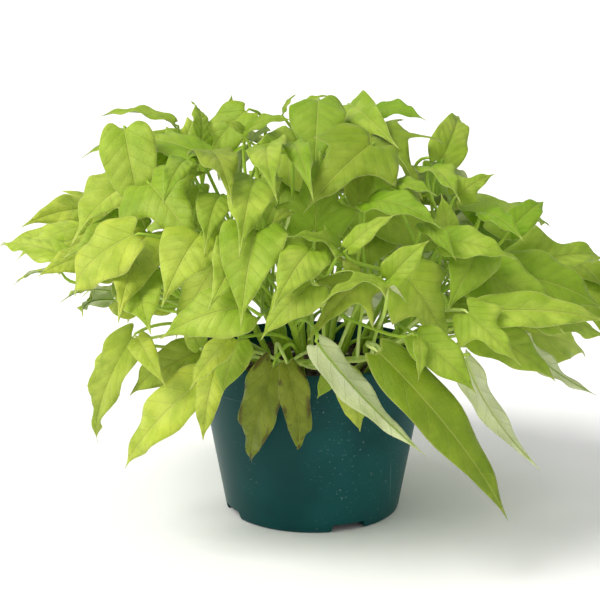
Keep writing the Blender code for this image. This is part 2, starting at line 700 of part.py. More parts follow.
class Growth:
    """Grows the stems, then places each leaf where it crosses nothing that is there already."""

    def __init__(self):
        self.draw = random.Random(LEAF_SEED)
        self.taken = Taken()
        self.taken.add(pot_room())
        self.leaves = []
        self.blades = []
        self.nodes = []
        self.stems = []
        for vine, route in enumerate(stem_routes()):
            stem = stem_line(route, STEM_STEPS)
            self.stems.append(stem)
            self.taken.add(tube_room(stem, STEM_RADIUS + STEM_ROOM), owner=vine)
            line = [point for point in stem_line(route, NODE_STEPS) if point.z > LOWEST_NODE]
            for node in range(NODES_PER_VINE):
                share = node / (NODES_PER_VINE - 1)
                self.nodes.append((vine, line[round(share * (len(line) - 2))]))

    def shape(self):
        return [self.draw.uniform(*limits) for limits in (ARCHES, FOLDS, DROOPS, TWISTS)]

    def shaded(self, start, ray):
        """Whether a ray meets a blade."""
        return any(blade.ray_cast(start, ray)[0] for blade in self.blades)

    def attach(self, leaf):
        """Finds a free node and a clear way for the petiole. Returns whether there was one."""
        bearing = (leaf.base - CROWN_CENTRE).normalized()
        options = []
        for index, (vine, root) in enumerate(self.nodes):
            away = (leaf.base - root).length
            if away < LEAST_PETIOLE:
                continue
            aside = abs((root.xy - CROWN_CENTRE.xy).normalized().cross(bearing.xy)) * SIDEWAYS_COST
            below = max(0, root.z - leaf.base.z + LEAST_CLIMB) * CLIMB_COST
            options.append((abs(away - USUAL_PETIOLE) + aside + below, index))
        options.sort()
        for _, index in options[:NODE_CHOICES]:
            vine, root = self.nodes[index]
            for spring, sway in PETIOLE_WAYS:
                path = petiole_path(leaf, root, spring, sway, PETIOLE_STEPS)
                room = tube_room(path, PETIOLE_ROOM)
                if self.taken.free(room, but=vine):
                    leaf.path = path
                    leaf.vine = vine
                    del self.nodes[index]
                    self.taken.add(room)
                    self.blades.append(self.taken.add(blade_room(leaf)))
                    self.leaves.append(leaf)
                    return True
        return False

    def place_seen(self, form, width, base, tip, roll):
        """One of the leaves that the photograph shows."""
        shape = self.shape()
        for shift in SEEN_SHIFTS:
            for extra in SEEN_ROLLS:
                low = on_crown(*base) + through_pixel(*base[:2]) * shift
                view = through_pixel(*tip[:2])
                along = on_crown(*tip) + view * shift - low
                depth = along.dot(view)
                seen = (along - view * depth).length
                most = math.sqrt(max(LONGEST_LEAF**2 - seen**2, (LEAST_DEPTH * seen) ** 2))
                along -= view * (depth - max(-most, min(most, depth)))
                high = low + along
                middle = (low + high) / 2
                shown = seen / along.length
                spin = Matrix.Rotation(math.radians(roll + extra), 3, along.normalized())
                seen_width = width * max(LEAST_SHOWN, shown)
                leaf = Leaf(form, seen_width, low, high, spin @ facing_normal(middle), *shape)
                if self.taken.free(blade_room(leaf)) and self.attach(leaf):
                    return True
        return False

    def fit(self, leaf):
        """Places a leaf that the photograph doesn't show, if there is room inside the outline."""
        corners, faces = blade_room(leaf)
        if not all(in_outline(*pixel_of(corner)) and corner.z > FILL_FLOOR for corner in corners):
            return False
        return self.taken.free((corners, faces)) and self.attach(leaf)

    def place_facing(self, index):
        """Closes a gap that the crown still shows from the front."""
        x = GAP_CORNER[0] + GAP_SPAN[0] * (index / PLASTIC_NUMBER % 1)
        y = GAP_CORNER[1] + GAP_SPAN[1] * (index / PLASTIC_NUMBER**2 % 1)
        if not in_outline(x, y) or self.shaded(CAMERA, through_pixel(x, y)):
            return False
        draw = self.draw
        form = draw.choice(FILL_FORMS)
        size = draw.uniform(*FILL_LENGTHS) * MM
        yaw = draw.uniform(-GAP_YAW, GAP_YAW)
        fall = draw.uniform(*GAP_FALL)
        shape = self.shape()
        for layer in GAP_LAYERS:
            middle = on_crown(x, y, layer)
            outward = middle - CROWN_CENTRE
            level = Vector((outward.x, outward.y, 0)).normalized()
            for turn in GAP_TURNS:
                ahead = Matrix.Rotation(yaw + turn, 3, "Z") @ level
                ahead = ahead * math.cos(fall) - UP * math.sin(fall)
                for part, reach in GAP_SIZES:
                    start = middle - ahead * size * part * reach
                    tip = start + ahead * size * part
                    if self.fit(Leaf(form, FILL_WIDTH, start, tip, facing_normal(middle), *shape)):
                        return True
        return False

    def place_filling(self, index):
        """Grows a leaf where light still falls, at one of the points spread evenly over the crown."""
        draw = self.draw
        height = 1 - FILL_SPHERE * (index + 0.5) / FILL_TRIES
        angle = index * GOLDEN_ANGLE
        across = math.sqrt(max(0, 1 - height**2))
        outward = Vector((math.cos(angle) * across, math.sin(angle) * across, height))
        place_at = scaled(outward, CROWN_AXES)
        light = CROWN_CENTRE + place_at * LIGHT_LAYER
        if self.shaded(light, CROWN_CENTRE - light):
            return False
        base = CROWN_CENTRE + place_at * FILL_LAYERS[index % len(FILL_LAYERS)]
        form = draw.choice(FILL_FORMS)
        size = draw.uniform(*FILL_LENGTHS) * MM
        yaw = draw.uniform(-FILL_YAW, FILL_YAW) * (1 + FILL_TOP_YAW * max(0, height))
        fall = draw.uniform(*FILL_FALL) * (FILL_TOP_FALL - height)
        level = Matrix.Rotation(yaw, 3, "Z") @ Vector((outward.x, outward.y, 0)).normalized()
        heading = (level * math.cos(fall) - UP * math.sin(fall)).normalized()
        shape = self.shape()
        lean = draw.uniform(-FILL_LEAN, FILL_LEAN)
        for turn in FILL_TURNS:
            ahead = Matrix.Rotation(turn, 3, "Z") @ heading
            normal = Matrix.Rotation(lean, 3, ahead) @ (UP * FILL_SKY + outward * FILL_OUTWARD)
            for inward in FILL_INWARD:
                start = base - outward * inward
                if self.fit(Leaf(form, FILL_WIDTH, start, start + ahead * size, normal, *shape)):
                    return True
        return False

    def run(self):
        for row in SEEN_LEAVES:
            self.place_seen(*row)
        for index in range(GAP_TRIES):
            self.place_facing(index)
        for index in range(FILL_TRIES):
            if len(self.leaves) < LEAF_LIMIT:
                self.place_filling(index * FILL_STRIDE % FILL_TRIES)


# Solids


def tube(name, path, radii, sides, collection):
    """A tube along a path, as a closed mesh."""
    curve = bpy.data.curves.new(name, "CURVE")
    curve.dimensions = "3D"
    curve.bevel_depth = 1
    curve.bevel_resolution = (sides - 4) // 2
    curve.use_fill_caps = True
    spline = curve.splines.new("POLY")
    spline.points.add(len(path) - 1)
    for point, place_at, radius in zip(spline.points, path, radii):
        point.co = (*place_at, 1)
        point.radius = radius
    guide = bpy.data.objects.new(name + "_guide", curve)
    collection.objects.link(guide)
    bpy.context.view_layer.update()
    graph = bpy.context.evaluated_depsgraph_get()
    mesh = bpy.data.meshes.new_from_object(guide.evaluated_get(graph))
    bpy.data.objects.remove(guide)
    bm = bmesh.new()
    bm.from_mesh(mesh)
    bmesh.ops.remove_doubles(bm, verts=bm.verts, dist=MERGE_DISTANCE)
    bmesh.ops.recalc_face_normals(bm, faces=bm.faces)
    bm.to_mesh(mesh)
    bm.free()
    return place(name, mesh, collection)


def grow_petiole(bm, face, leaf):
    """Extrudes the blade's end face down the petiole's path, as a square tube."""
    line = [leaf.base, *leaf.path]
    steps = [(after - before).normalized() for before, after in zip(line, line[1:])]
    side, other = leaf.across, leaf.normal
    facing = steps[0]
    centre = face.calc_center_median()
    for index, point in enumerate(leaf.path):
        onward = steps[min(index + 1, len(steps) - 1)]
        ahead = (steps[index] + onward).normalized()
        turn = facing.rotation_difference(ahead)
        new_side, new_other = turn @ side, turn @ other
        region = [face, *face.edges, *face.verts]
        extruded = bmesh.ops.extrude_face_region(bm, geom=region)["geom"]
        face = next(item for item in extruded if isinstance(item, bmesh.types.BMFace))
        for vertex in face.verts:
            offset = vertex.co - centre
            right = math.copysign(PETIOLE_HALF_SIDE, offset.dot(side))
            top = math.copysign(PETIOLE_HALF_SIDE, offset.dot(other))
            vertex.co = point + new_side * right + new_other * top
        side, other, facing, centre = new_side, new_other, ahead, point


def blade_and_petiole(leaf, name, collection):
    """One closed solid: the blade, thickened, with its petiole grown from its end face."""
    points, triangles, count = layout(leaf.form)
    bm = bmesh.new()
    corners = []
    for x, y in points:
        surface, normal = leaf.at(x, y)
        corners.append(bm.verts.new(surface + normal * BLADE_THICKNESS / 2))
    faces = [bm.faces.new([corners[index] for index in triangle]) for triangle in triangles]
    bm.normal_update()
    bmesh.ops.solidify(bm, geom=faces, thickness=BLADE_THICKNESS)
    end = bm.edges.get((corners[0], corners[count - 1]))
    end_face = next(face for face in end.link_faces if len(face.verts) == 4)
    grow_petiole(bm, end_face, leaf)
    bmesh.ops.recalc_face_normals(bm, faces=bm.faces)
    return place(name, mesh_of(name, bm), collection)


def build_vine(number, stem, leaves, collection, look):
    """One vine: its stem with every leaf that grows from it, fused."""
    repeats = new_collection(f"leaves_{number:02d}")
    share = [index / (len(stem) - 1) for index in range(len(stem))]
    radii = [STEM_RADIUS + (STEM_TIP_RADIUS - STEM_RADIUS) * part for part in share]
    vine = tube(f"vine_{number:02d}", stem, radii, STEM_SIDES, collection)
    vine.data.materials.append(look)
    for index, leaf in enumerate(leaves):
        blade_and_petiole(leaf, f"leaf_{number:02d}_{index:02d}", repeats)
    if leaves:
        boolean(vine, "fuse", "UNION", "MANIFOLD", collection=repeats)
        applied(vine)
    for obj in list(repeats.objects):
        bpy.data.objects.remove(obj, do_unlink=True)
    bpy.data.collections.remove(repeats)
    return vine


def main():
    clear_scene()
    plant = new_collection("sweet_potato_vine")
    cutters = new_collection("cutters")
    pot_green = material("pot_green", POT_COLOUR, POT_ROUGHNESS)
    soil_brown = material("soil_brown", SOIL_COLOUR, SOIL_ROUGHNESS)
    leaf_green = material("leaf_chartreuse", LEAF_COLOUR, LEAF_ROUGHNESS)
    growth = Growth()
    growth.run()
    build_pot(plant, cutters, pot_green)
    build_soil(plant, cutters, soil_brown, growth.stems)
    for number, stem in enumerate(growth.stems):
        leaves = [leaf for leaf in growth.leaves if leaf.vine == number]
        build_vine(number + 1, stem, leaves, plant, leaf_green)


if __name__ == "__main__":
    main()
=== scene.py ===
"""The looks of the sweet potato vine: fine leaves, stems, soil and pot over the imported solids.

The growth rules and their seed are the ones that the solids were made with, so every fine leaf
lies where its solid is.
"""

import functools
import math
import random

import bmesh
import bpy
from mathutils import Matrix, Vector, noise
from mathutils.bvhtree import BVHTree
from mathutils.geometry import delaunay_2d_cdt


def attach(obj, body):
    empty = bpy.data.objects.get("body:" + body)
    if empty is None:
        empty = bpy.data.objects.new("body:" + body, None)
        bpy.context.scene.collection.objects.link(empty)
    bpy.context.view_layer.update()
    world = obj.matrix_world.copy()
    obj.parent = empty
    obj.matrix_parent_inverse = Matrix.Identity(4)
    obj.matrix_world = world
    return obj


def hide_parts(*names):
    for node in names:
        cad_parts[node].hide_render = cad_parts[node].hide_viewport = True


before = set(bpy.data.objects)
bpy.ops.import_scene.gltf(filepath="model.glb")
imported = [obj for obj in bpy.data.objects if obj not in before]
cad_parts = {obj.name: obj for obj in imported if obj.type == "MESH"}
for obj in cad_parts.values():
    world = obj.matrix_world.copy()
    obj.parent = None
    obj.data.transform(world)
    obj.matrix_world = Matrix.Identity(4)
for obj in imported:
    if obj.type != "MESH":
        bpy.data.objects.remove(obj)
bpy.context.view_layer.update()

MM = 0.001
UP = Vector((0, 0, 1))
MERGE_DISTANCE = 0.01 * MM
OUTLINE_TOLERANCE = 1e-7

# Pot, a six inch azalea pot
POT_HEIGHT = 108 * MM
RIM_RADIUS = 76 * MM
RIM_BAND = 21 * MM
BAND_FOOT = POT_HEIGHT - RIM_BAND
RIM_STEP = 1.4 * MM
RIM_TAPER = 1.2 * MM
FOOT_RADIUS = 57.5 * MM
POT_WALL = 2.2 * MM
POT_FLOOR = 3 * MM
FOOT_BEVEL = 1 * MM
POT_SIDES = 40
NOTCH_COUNT = 4
NOTCH_FIRST = math.radians(-66)
NOTCH_WIDTH = 27 * MM
NOTCH_HEIGHT = 5 * MM
NOTCH_DEPTH = 14 * MM
NOTCH_TAPER = 0.8
POT_ROOM = 1.5 * MM
POT_ROOM_TIP = 1 * MM

# Soil
SOIL_TOP = 94 * MM
SOIL_CROWN = 3 * MM
SOIL_RELIEF = 1.3 * MM
SOIL_WAVES = (9 * MM, 7 * MM, 13 * MM)
SOIL_PHASE = 1.3
FIT_GAP = 0.3 * MM

# Vines
VINE_COUNT = 17
ROOT_DEPTH = 16 * MM
ROOT_SPREAD = 52 * MM
STEM_RADIUS = 2.2 * MM
STEM_TIP_RADIUS = 1.5 * MM
STEM_STEPS = 3
STEM_ROOM = 0.4 * MM
COLLAR_RISE = 6 * MM
NODES_PER_VINE = 14
NODE_STEPS = 12
LOWEST_NODE = SOIL_TOP + 9 * MM
FIRST_VINE_ANGLE = 0.9
FIRST_ROOT = 0.7
GOLDEN_ANGLE = math.pi * (3 - math.sqrt(5))

# How far a stem leans out and climbs, up to its middle and from there to its tip, at the centre
# of the pot, and how much that changes towards the pot's edge
LOWER_LEAN = (6 * MM, 22 * MM)
LOWER_CLIMB = (38 * MM, -8 * MM)
UPPER_LEAN = (10 * MM, 34 * MM)
UPPER_CLIMB = (48 * MM, -22 * MM)

# Stems that creep over the rim in front, from foot to tip, in millimetres
TRAILING_STEMS = [
    [(-34, -34, 78.3), (-34, -34, 100), (-20, -62, 112), (10, -78, 118), (44, -88, 124)],
    [(-22, -18, 78.3), (-22, -18, 101), (-42, -34, 118), (-62, -58, 124)],
    [(26, -38, 78.3), (26, -38, 101), (42, -52, 120), (66, -66, 132)],
]

# Leaves
LEAF_LIMIT = 163
LEAF_SEED = 63
BLADE_ROOM = 1.1 * MM
JOINT_HALF_SHARE = 0.024

# How a blade bends: the arch of its midrib, its fold, the droop of its margins and its twist
ARCHES = (0.6, 1.25)
FOLDS = (0.12, 0.34)
DROOPS = (0.5, 1.1)
TWISTS = (-0.45, 0.45)

# How much a blade in front faces the viewer, the sky and outward
TO_VIEWER, TO_SKY, OUTWARD = 0.75, 0.55, 0.35

# Petioles, and what a node costs a leaf that lies off its way
PETIOLE_STEPS = 2
PETIOLE_ROOM = 1.6 * MM
PETIOLE_NECK = 2.5 * MM
PETIOLE_DROP = 0.55
NECK_REACH = 0.33
ROOT_REACH = 0.36
PETIOLE_WAYS = ((0.7, 0), (0.3, 0.35), (0.3, -0.35), (1.2, 0), (0.8, 0.7), (0.8, -0.7), (-0.3, 0))
LEAST_PETIOLE = 16 * MM
USUAL_PETIOLE = 62 * MM
LEAST_CLIMB = 10 * MM
CLIMB_COST = 1.5
SIDEWAYS_COST = 30 * MM
NODE_CHOICES = 80
OFF_AXIS = Vector((0.31, 0.95, 0.1))

# Leaves that the photograph shows: how far one may move in depth or roll to find room
SEEN_SHIFTS = [shift * MM for shift in (0, -5, 5, -10, 10, -16, 16, 24, 32, -24, 40)]
SEEN_ROLLS = (0, 14, -14, 30, -30)
LEAST_SHOWN = 0.55

# A seen leaf is no longer than this unless it shows so, or recedes by this share of what shows
LONGEST_LEAF = 92 * MM
LEAST_DEPTH = 0.45

# Leaves that close the gaps which the crown shows from the front, at an even scatter of pixels
GAP_TRIES = 700
PLASTIC_NUMBER = 1.32471795724
GAP_CORNER = (-10, 95)
GAP_SPAN = (620, 240)
GAP_LAYERS = (0.95, 0.88, 0.8, 0.72, 0.64, 0.55)
GAP_TURNS = (0, 0.5, -0.5, 1.0, -1.0)
GAP_SIZES = ((1, 0.5), (1, 0.3), (0.8, 0.5))
GAP_YAW = 1.1
GAP_FALL = (0.35, 1.2)

# Leaves that grow where light still falls on the crown's inside, from any side
FILL_TRIES = 997
FILL_STRIDE = 389
FILL_LAYERS = (0.80, 0.62, 0.72, 0.50)
FILL_LENGTHS = (50, 80)
FILL_FORMS = ("heart", "lobed", "heart", "star", "oval", "heart", "lobed")
FILL_WIDTH = 0.85
FILL_FLOOR = 84 * MM
FILL_TURNS = (0, 0.3, -0.3, 0.6, -0.6)
FILL_INWARD = (0, 8 * MM, 16 * MM)
FILL_YAW = 0.9
FILL_FALL = (0.05, 0.95)
FILL_TOP_YAW, FILL_TOP_FALL = 1.5, 1.1
FILL_LEAN = 0.5
FILL_SKY, FILL_OUTWARD = 0.8, 0.7
FILL_SPHERE = 1.3
LIGHT_LAYER = 1.5

# Half outlines, from the petiole to the tip, for a blade one unit long, then the rib points
FORMS = {
    "heart": ([(0.20, -0.13), (0.38, 0.08), (0.28, 0.46), (0.06, 0.80)], (0.14, 0.56)),
    "oval": ([(0.17, -0.06), (0.32, 0.16), (0.25, 0.54), (0.05, 0.84)], (0.14, 0.56)),
    "lobed": (
        [(0.19, -0.14), (0.36, -0.04), (0.58, 0.26), (0.28, 0.34), (0.20, 0.58), (0.05, 0.83)],
        (0.14, 0.54),
    ),
    "star": (
        [(0.15, -0.10), (0.42, -0.08), (0.26, 0.12), (0.56, 0.46), (0.20, 0.38), (0.05, 0.82)],
        (0.14, 0.50),
    ),
    "lance": ([(0.10, -0.02), (0.19, 0.20), (0.14, 0.56), (0.035, 0.84)], (0.14, 0.56)),
}

# The photograph's view, which places the leaves that it shows
PICTURE_CENTRE = 300
FOCAL_PX = 1470
CAMERA = Vector((0, -940, 342)) * MM
CAMERA_PITCH = math.radians(12.17)
CAMERA_YAW = math.radians(0.507)
RIGHT = Vector((math.cos(CAMERA_YAW), math.sin(CAMERA_YAW), 0))
AHEAD = UP.cross(RIGHT) * math.cos(CAMERA_PITCH) - UP * math.sin(CAMERA_PITCH)
ABOVE = RIGHT.cross(AHEAD)

# The crown's outer surface, an ellipsoid; a layer is a share of its size
CROWN_CENTRE = Vector((-4, 0, 128)) * MM
CROWN_AXES = Vector((188, 182, 142)) * MM

# Each leaf that shows in the photograph: form, width, and the pixels and layers of its joint
# and its tip, then the roll of its blade in degrees where it has one
SEEN_LEAVES = [
    # Over the rim in front
    ("lance", 0.66, (378, 352, 0.84), (508, 521, 1)),
    ("lance", 0.62, (318, 344, 0.84), (427, 457, 0.92), 180),
    ("oval", 0.85, (346, 373, 0.66), (360, 432, 0.66)),
    ("oval", 0.9, (334, 371, 0.7), (317, 399, 0.72)),
    ("oval", 0.7, (273, 366, 0.6), (252, 463, 0.62)),
    ("lance", 0.95, (287, 364, 0.6), (297, 450, 0.62)),
    # Middle leaves that lie over their neighbours
    ("oval", 0.8, (188, 160, 0.98), (162, 208, 1.07)),
    ("oval", 0.9, (206, 155, 0.93), (233, 207, 1.03)),
    ("lance", 1, (292, 145, 0.96), (314, 203, 1.03)),
    ("oval", 0.9, (389, 280, 0.93), (430, 240, 1.03)),
    # Left side
    ("heart", 1, (148, 233, 0.84), (118, 324, 1)),
    ("heart", 0.9, (146, 232, 0.78), (63, 259, 0.98), 10),
    ("oval", 0.9, (66, 257, 0.92), (-6, 247, 1.12), 25),
    ("lobed", 0.9, (107, 214, 0.82), (20, 228, 1.08)),
    ("lance", 1.3, (90, 226, 0.8), (16, 261, 1.02), 15),
    ("oval", 0.8, (94, 254, 0.86), (37, 277, 1.02), -10),
    ("oval", 0.6, (58, 272, 0.8), (13, 286, 1), 60),
    ("lance", 0.8, (111, 291, 0.7), (60, 303, 0.92), 40),
    ("lance", 0.8, (114, 300, 0.66), (83, 317, 0.86), 40),
    # Upper left
    ("lance", 1, (175, 124, 0.96), (96, 118, 1.04), 20),
    ("star", 0.8, (197, 153, 0.9), (81, 159, 1.05)),
    ("oval", 0.7, (147, 148, 0.9), (117, 127, 1), 30),
    ("lobed", 1, (193, 150, 0.82), (142, 132, 1)),
    ("heart", 0.8, (200, 145, 0.9), (189, 100, 0.99), 20),
    ("heart", 1.1, (230, 121, 0.9), (232, 94, 1)),
    # Top
    ("oval", 0.9, (283, 112, 0.9), (297, 94, 1), -30),
    ("heart", 0.6, (243, 131, 0.96), (219, 121, 1.02)),
    ("oval", 0.7, (246, 132, 0.96), (294, 120, 1.04)),
    ("oval", 1, (318, 148, 0.86), (247, 149, 1)),
    ("lance", 1, (300, 108, 0.93), (330, 96, 1)),
    ("lobed", 0.9, (352, 128, 0.88), (360, 97, 0.98)),
    ("heart", 0.9, (372, 112, 0.9), (427, 121, 1)),
    ("lance", 1.2, (349, 104, 0.96), (400, 150, 1.04)),
    # Middle
    ("heart", 0.95, (255, 180, 0.9), (239, 259, 1.02)),
    ("heart", 0.85, (268, 147, 0.97), (278, 204, 1.05)),
    ("lobed", 0.9, (315, 231, 0.84), (320, 150, 0.96)),
    ("oval", 0.7, (360, 202, 0.86), (351, 132, 0.98)),
    ("heart", 0.9, (220, 197, 0.88), (204, 257, 0.98)),
    ("heart", 0.7, (289, 211, 0.95), (269, 228, 1.02)),
    ("heart", 0.85, (311, 250, 0.93), (271, 314, 1.04)),
    ("heart", 0.9, (241, 245, 0.9), (207, 312, 1.03), -20),
    ("lance", 0.9, (307, 247, 0.83), (257, 254, 0.95)),
    ("lobed", 0.7, (338, 249, 0.87), (285, 237, 0.99)),
    ("lance", 1, (347, 249, 0.93), (397, 214, 1.03)),
    ("star", 1, (385, 284, 0.93), (321, 305, 1.04)),
    ("oval", 0.8, (368, 203, 0.9), (441, 229, 1.03)),
    ("oval", 0.7, (396, 184, 0.95), (438, 197, 1.04)),
    # Upper right
    ("heart", 0.9, (428, 168, 0.88), (461, 204, 1)),
    ("heart", 1, (443, 158, 0.92), (455, 116, 1)),
    ("lobed", 0.8, (458, 195, 0.9), (495, 174, 1)),
    ("oval", 1, (509, 232, 0.9), (544, 202, 1)),
    ("lance", 1.2, (482, 213, 0.9), (524, 242, 1.03)),
    ("heart", 0.8, (449, 241, 0.93), (517, 260, 1.04)),
    ("oval", 0.9, (446, 241, 0.86), (441, 193, 0.98)),
    ("oval", 0.6, (423, 224, 0.93), (457, 262, 1.03)),
    # Right side
    ("lobed", 0.75, (520, 269, 0.84), (606, 262, 1.02)),
    ("lance", 0.8, (476, 313, 0.9), (608, 322, 1.12)),
    ("oval", 0.8, (516, 313, 0.8), (612, 346, 1.02), -20),
    ("lobed", 0.7, (468, 313, 0.92), (522, 367, 1.05)),
    ("oval", 0.7, (466, 327, 0.82), (556, 382, 1)),
    ("lance", 0.75, (518, 336, 0.78), (598, 396, 0.98), 180),
    ("lance", 0.62, (466, 358, 0.84), (541, 471, 1), 180),
    ("oval", 0.8, (416, 336, 0.88), (476, 394, 1)),
    ("lance", 0.9, (418, 338, 0.92), (418, 381, 0.97)),
    ("lance", 0.9, (430, 338, 0.86), (437, 377, 0.92)),
    # Over the rim on the left
    ("oval", 0.62, (133, 337, 0.74), (98, 443, 0.86)),
    ("lance", 1.2, (137, 338, 0.78), (166, 387, 0.86)),
    ("lance", 1.1, (207, 376, 0.72), (125, 469, 0.84)),
    ("lance", 0.95, (216, 366, 0.76), (203, 441, 0.82)),
    ("oval", 1, (238, 340, 0.72), (222, 396, 0.8)),
    ("lance", 1.1, (231, 338, 0.82), (190, 390, 0.88)),
    ("oval", 0.9, (200, 347, 0.74), (181, 316, 0.8)),
    ("oval", 0.7, (204, 350, 0.66), (130, 396, 0.78)),
    ("lance", 1.1, (127, 344, 0.7), (89, 388, 0.82)),
]

# The crown's outline in the photograph, which the other leaves stay inside
CROWN_OUTLINE = [
    (0, 290), (-14, 250), (8, 224), (72, 186), (84, 156), (104, 118), (150, 104), (196, 98),
    (250, 95), (300, 95), (356, 97), (424, 120), (455, 124), (495, 175), (545, 206), (600, 254),
    (616, 300), (610, 350), (540, 372), (440, 350), (430, 345), (150, 340), (116, 318), (60, 300),
]


def place(name, data, look=None):
    """Adds an object to the scene, with its material if it is given one."""
    obj = bpy.data.objects.new(name, data)
    bpy.context.scene.collection.objects.link(obj)
    if look:
        data.materials.clear()
        data.materials.append(look)
    return obj


def mesh_of(name, bm):
    mesh = bpy.data.meshes.new(name)
    bm.to_mesh(mesh)
    bm.free()
    return mesh


def evaluated_mesh(obj):
    """The mesh that an object's modifiers, or its curve, come to."""
    graph = bpy.context.evaluated_depsgraph_get()
    return bpy.data.meshes.new_from_object(obj.evaluated_get(graph))


def turned(name, profile, steps, look):
    """A profile of (radius, height) points, down its outer side first, turned about Z."""
    bm = bmesh.new()
    points = [bm.verts.new((radius, 0, height)) for radius, height in profile]
    for first, second in zip(points, points[1:]):
        bm.edges.new((first, second))
    obj = place(name, mesh_of(name, bm), look)
    screw = obj.modifiers.new("turn", "SCREW")
    screw.steps = screw.render_steps = steps
    screw.use_merge_vertices = True
    screw.merge_threshold = MERGE_DISTANCE
    return obj


def wall_radius(height):
    """The pot's outer radius under its rim band."""
    top = RIM_RADIUS - RIM_STEP - RIM_TAPER
    return FOOT_RADIUS + (top - FOOT_RADIUS) * height / BAND_FOOT


def inner_radius(height):
    """The radius of the pot's inside, which steepens behind the rim band."""
    if height <= BAND_FOOT:
        return wall_radius(height) - POT_WALL
    share = (height - BAND_FOOT) / RIM_BAND
    return wall_radius(BAND_FOOT) * (1 - share) + RIM_RADIUS * share - POT_WALL


def soil_height(x, y):
    """The soil's surface: a low crown with soft lumps."""
    share = min(1, math.hypot(x, y) / inner_radius(SOIL_TOP))
    first, second, third = SOIL_WAVES
    lumps = math.sin(x / first + SOIL_PHASE) * math.cos(y / second) + math.sin((x + y) / third)
    return SOIL_TOP + SOIL_CROWN * (1 - share**2) + SOIL_RELIEF * lumps * (1 - share**4) / 2


# Growth: where the stems, blades and petioles are


def around(angle, radius, height=0):
    """A point at an angle round the pot's axis."""
    return Vector((radius * math.cos(angle), radius * math.sin(angle), height))


def through_pixel(x, y):
    """The direction from the camera through a pixel of the photograph."""
    return (AHEAD * FOCAL_PX + RIGHT * (x - PICTURE_CENTRE) + ABOVE * (PICTURE_CENTRE - y)).normalized()


def pixel_of(point):
    """The pixel of the photograph that a point lies behind."""
    away = point - CAMERA
    scale = FOCAL_PX / away.dot(AHEAD)
    return PICTURE_CENTRE + away.dot(RIGHT) * scale, PICTURE_CENTRE - away.dot(ABOVE) * scale


def scaled(vector, factors):
    return Vector(a * b for a, b in zip(vector, factors))


def on_crown(x, y, layer):
    """The nearest point of a crown layer behind a pixel, or where the view just passes it."""
    shrink = [1 / (axis * layer) for axis in CROWN_AXES]
    ray = through_pixel(x, y)
    start = scaled(CAMERA - CROWN_CENTRE, shrink)
    step = scaled(ray, shrink)
    half_b = start.dot(step)
    a = step.length_squared
    under_root = half_b**2 - a * (start.length_squared - 1)
    return CAMERA + ray * (-half_b - math.sqrt(max(0, under_root))) / a


def inside(corners, x, y):
    """Whether a point is inside a ring of corners."""
    crossed = False
    for (ax, ay), (bx, by) in zip(corners, [corners[-1], *corners]):
        if (ay > y) != (by > y) and x < ax + (y - ay) * (bx - ax) / (by - ay):
            crossed = not crossed
    return crossed


def facing_normal(point):
    """The way a blade in front faces: to the viewer, the sky and outward."""
    viewer = (CAMERA - point).normalized()
    outward = (point - CROWN_CENTRE).normalized()
    return viewer * TO_VIEWER + UP * TO_SKY + outward * OUTWARD


class Leaf:
    """One blade. Its midrib is an arc from base to tip that bulges along its normal."""

    def __init__(self, form, width, base, tip, normal, arch, fold, droop, twist):
        self.form, self.width, self.base = form, width, base
        self.arch, self.fold, self.droop, self.twist = arch, fold, droop, twist
        self.path, self.vine, self.order = [], None, None
        along = (tip - base).normalized()
        normal = (normal - along * normal.dot(along)).normalized()
        half = arch / 2
        self.across = along.cross(normal)
        self.forward = along * math.cos(half) + normal * math.sin(half)
        self.normal = normal * math.cos(half) - along * math.sin(half)
        self.length = (tip - base).length * half / math.sin(half)

    def at(self, x, y):
        """The place and the normal of a point (x, y) of the unit outline."""
        turn = self.arch * y
        reach = self.length / self.arch
        rib = self.base + (self.forward * math.sin(turn) - self.normal * (1 - math.cos(turn))) * reach
        tangent = self.forward * math.cos(turn) - self.normal * math.sin(turn)
        normal = self.normal * math.cos(turn) + self.forward * math.sin(turn)
        roll = Matrix.Rotation(self.twist * y, 3, tangent)
        normal = roll @ normal
        across = roll @ self.across
        side = x * self.width * self.length
        lift = abs(side) * math.sin(self.fold) - self.droop * side**2 / self.length
        return rib + across * side * math.cos(self.fold) + normal * lift, normal


def loop(count):
    """The edges that join a count of points into a ring."""
    return [(index, (index + 1) % count) for index in range(count)]


def half_outline(form):
    """The right half of a form's outline, from its joint to its tip."""
    return [Vector(point) for point in [(JOINT_HALF_SHARE, 0), *FORMS[form][0], (0, 1)]]


def mirrored(right):
    """A whole outline from its right half."""
    return [*right, *[Vector((-point.x, point.y)) for point in reversed(right[:-1])]]


@functools.cache
def layout(form):
    """The outline points of a form with its rib points, its triangles, and the outline's count."""
    right = half_outline(form)
    outline = mirrored(right)
    count = len(outline)
    points = outline + [Vector((0, rib)) for rib in FORMS[form][1]]
    chain = [*range(count, len(points)), len(right) - 1]
    edges = [*loop(count), *zip(chain, chain[1:])]
    triangles = delaunay_2d_cdt(points, edges, [], 1, OUTLINE_TOLERANCE)[2]
    return points, [upward(points, triangle) for triangle in triangles], count


def upward(points, triangle):
    a, b, c = (points[index] for index in triangle)
    return triangle if (b - a).cross(c - a) > 0 else triangle[::-1]


def blade_room(leaf):
    """Both faces of the blade, thickened to the room that it needs."""
    points, triangles, count = layout(leaf.form)
    both = [leaf.at(x, y) for x, y in points]
    corners = [spot + normal * side for side in (BLADE_ROOM, -BLADE_ROOM) for spot, normal in both]
    under = len(points)
    faces = triangles + [[index + under for index in triangle] for triangle in triangles]
    faces += [[a, b, b + under, a + under] for a, b in loop(count)]
    return corners, faces


def ring_faces(rings, sides):
    """The faces between rings of corners that follow one another."""
    faces = []
    for first in range(0, (rings - 1) * sides, sides):
        faces += [[first + a, first + b, first + b + sides, first + a + sides] for a, b in loop(sides)]
    return faces


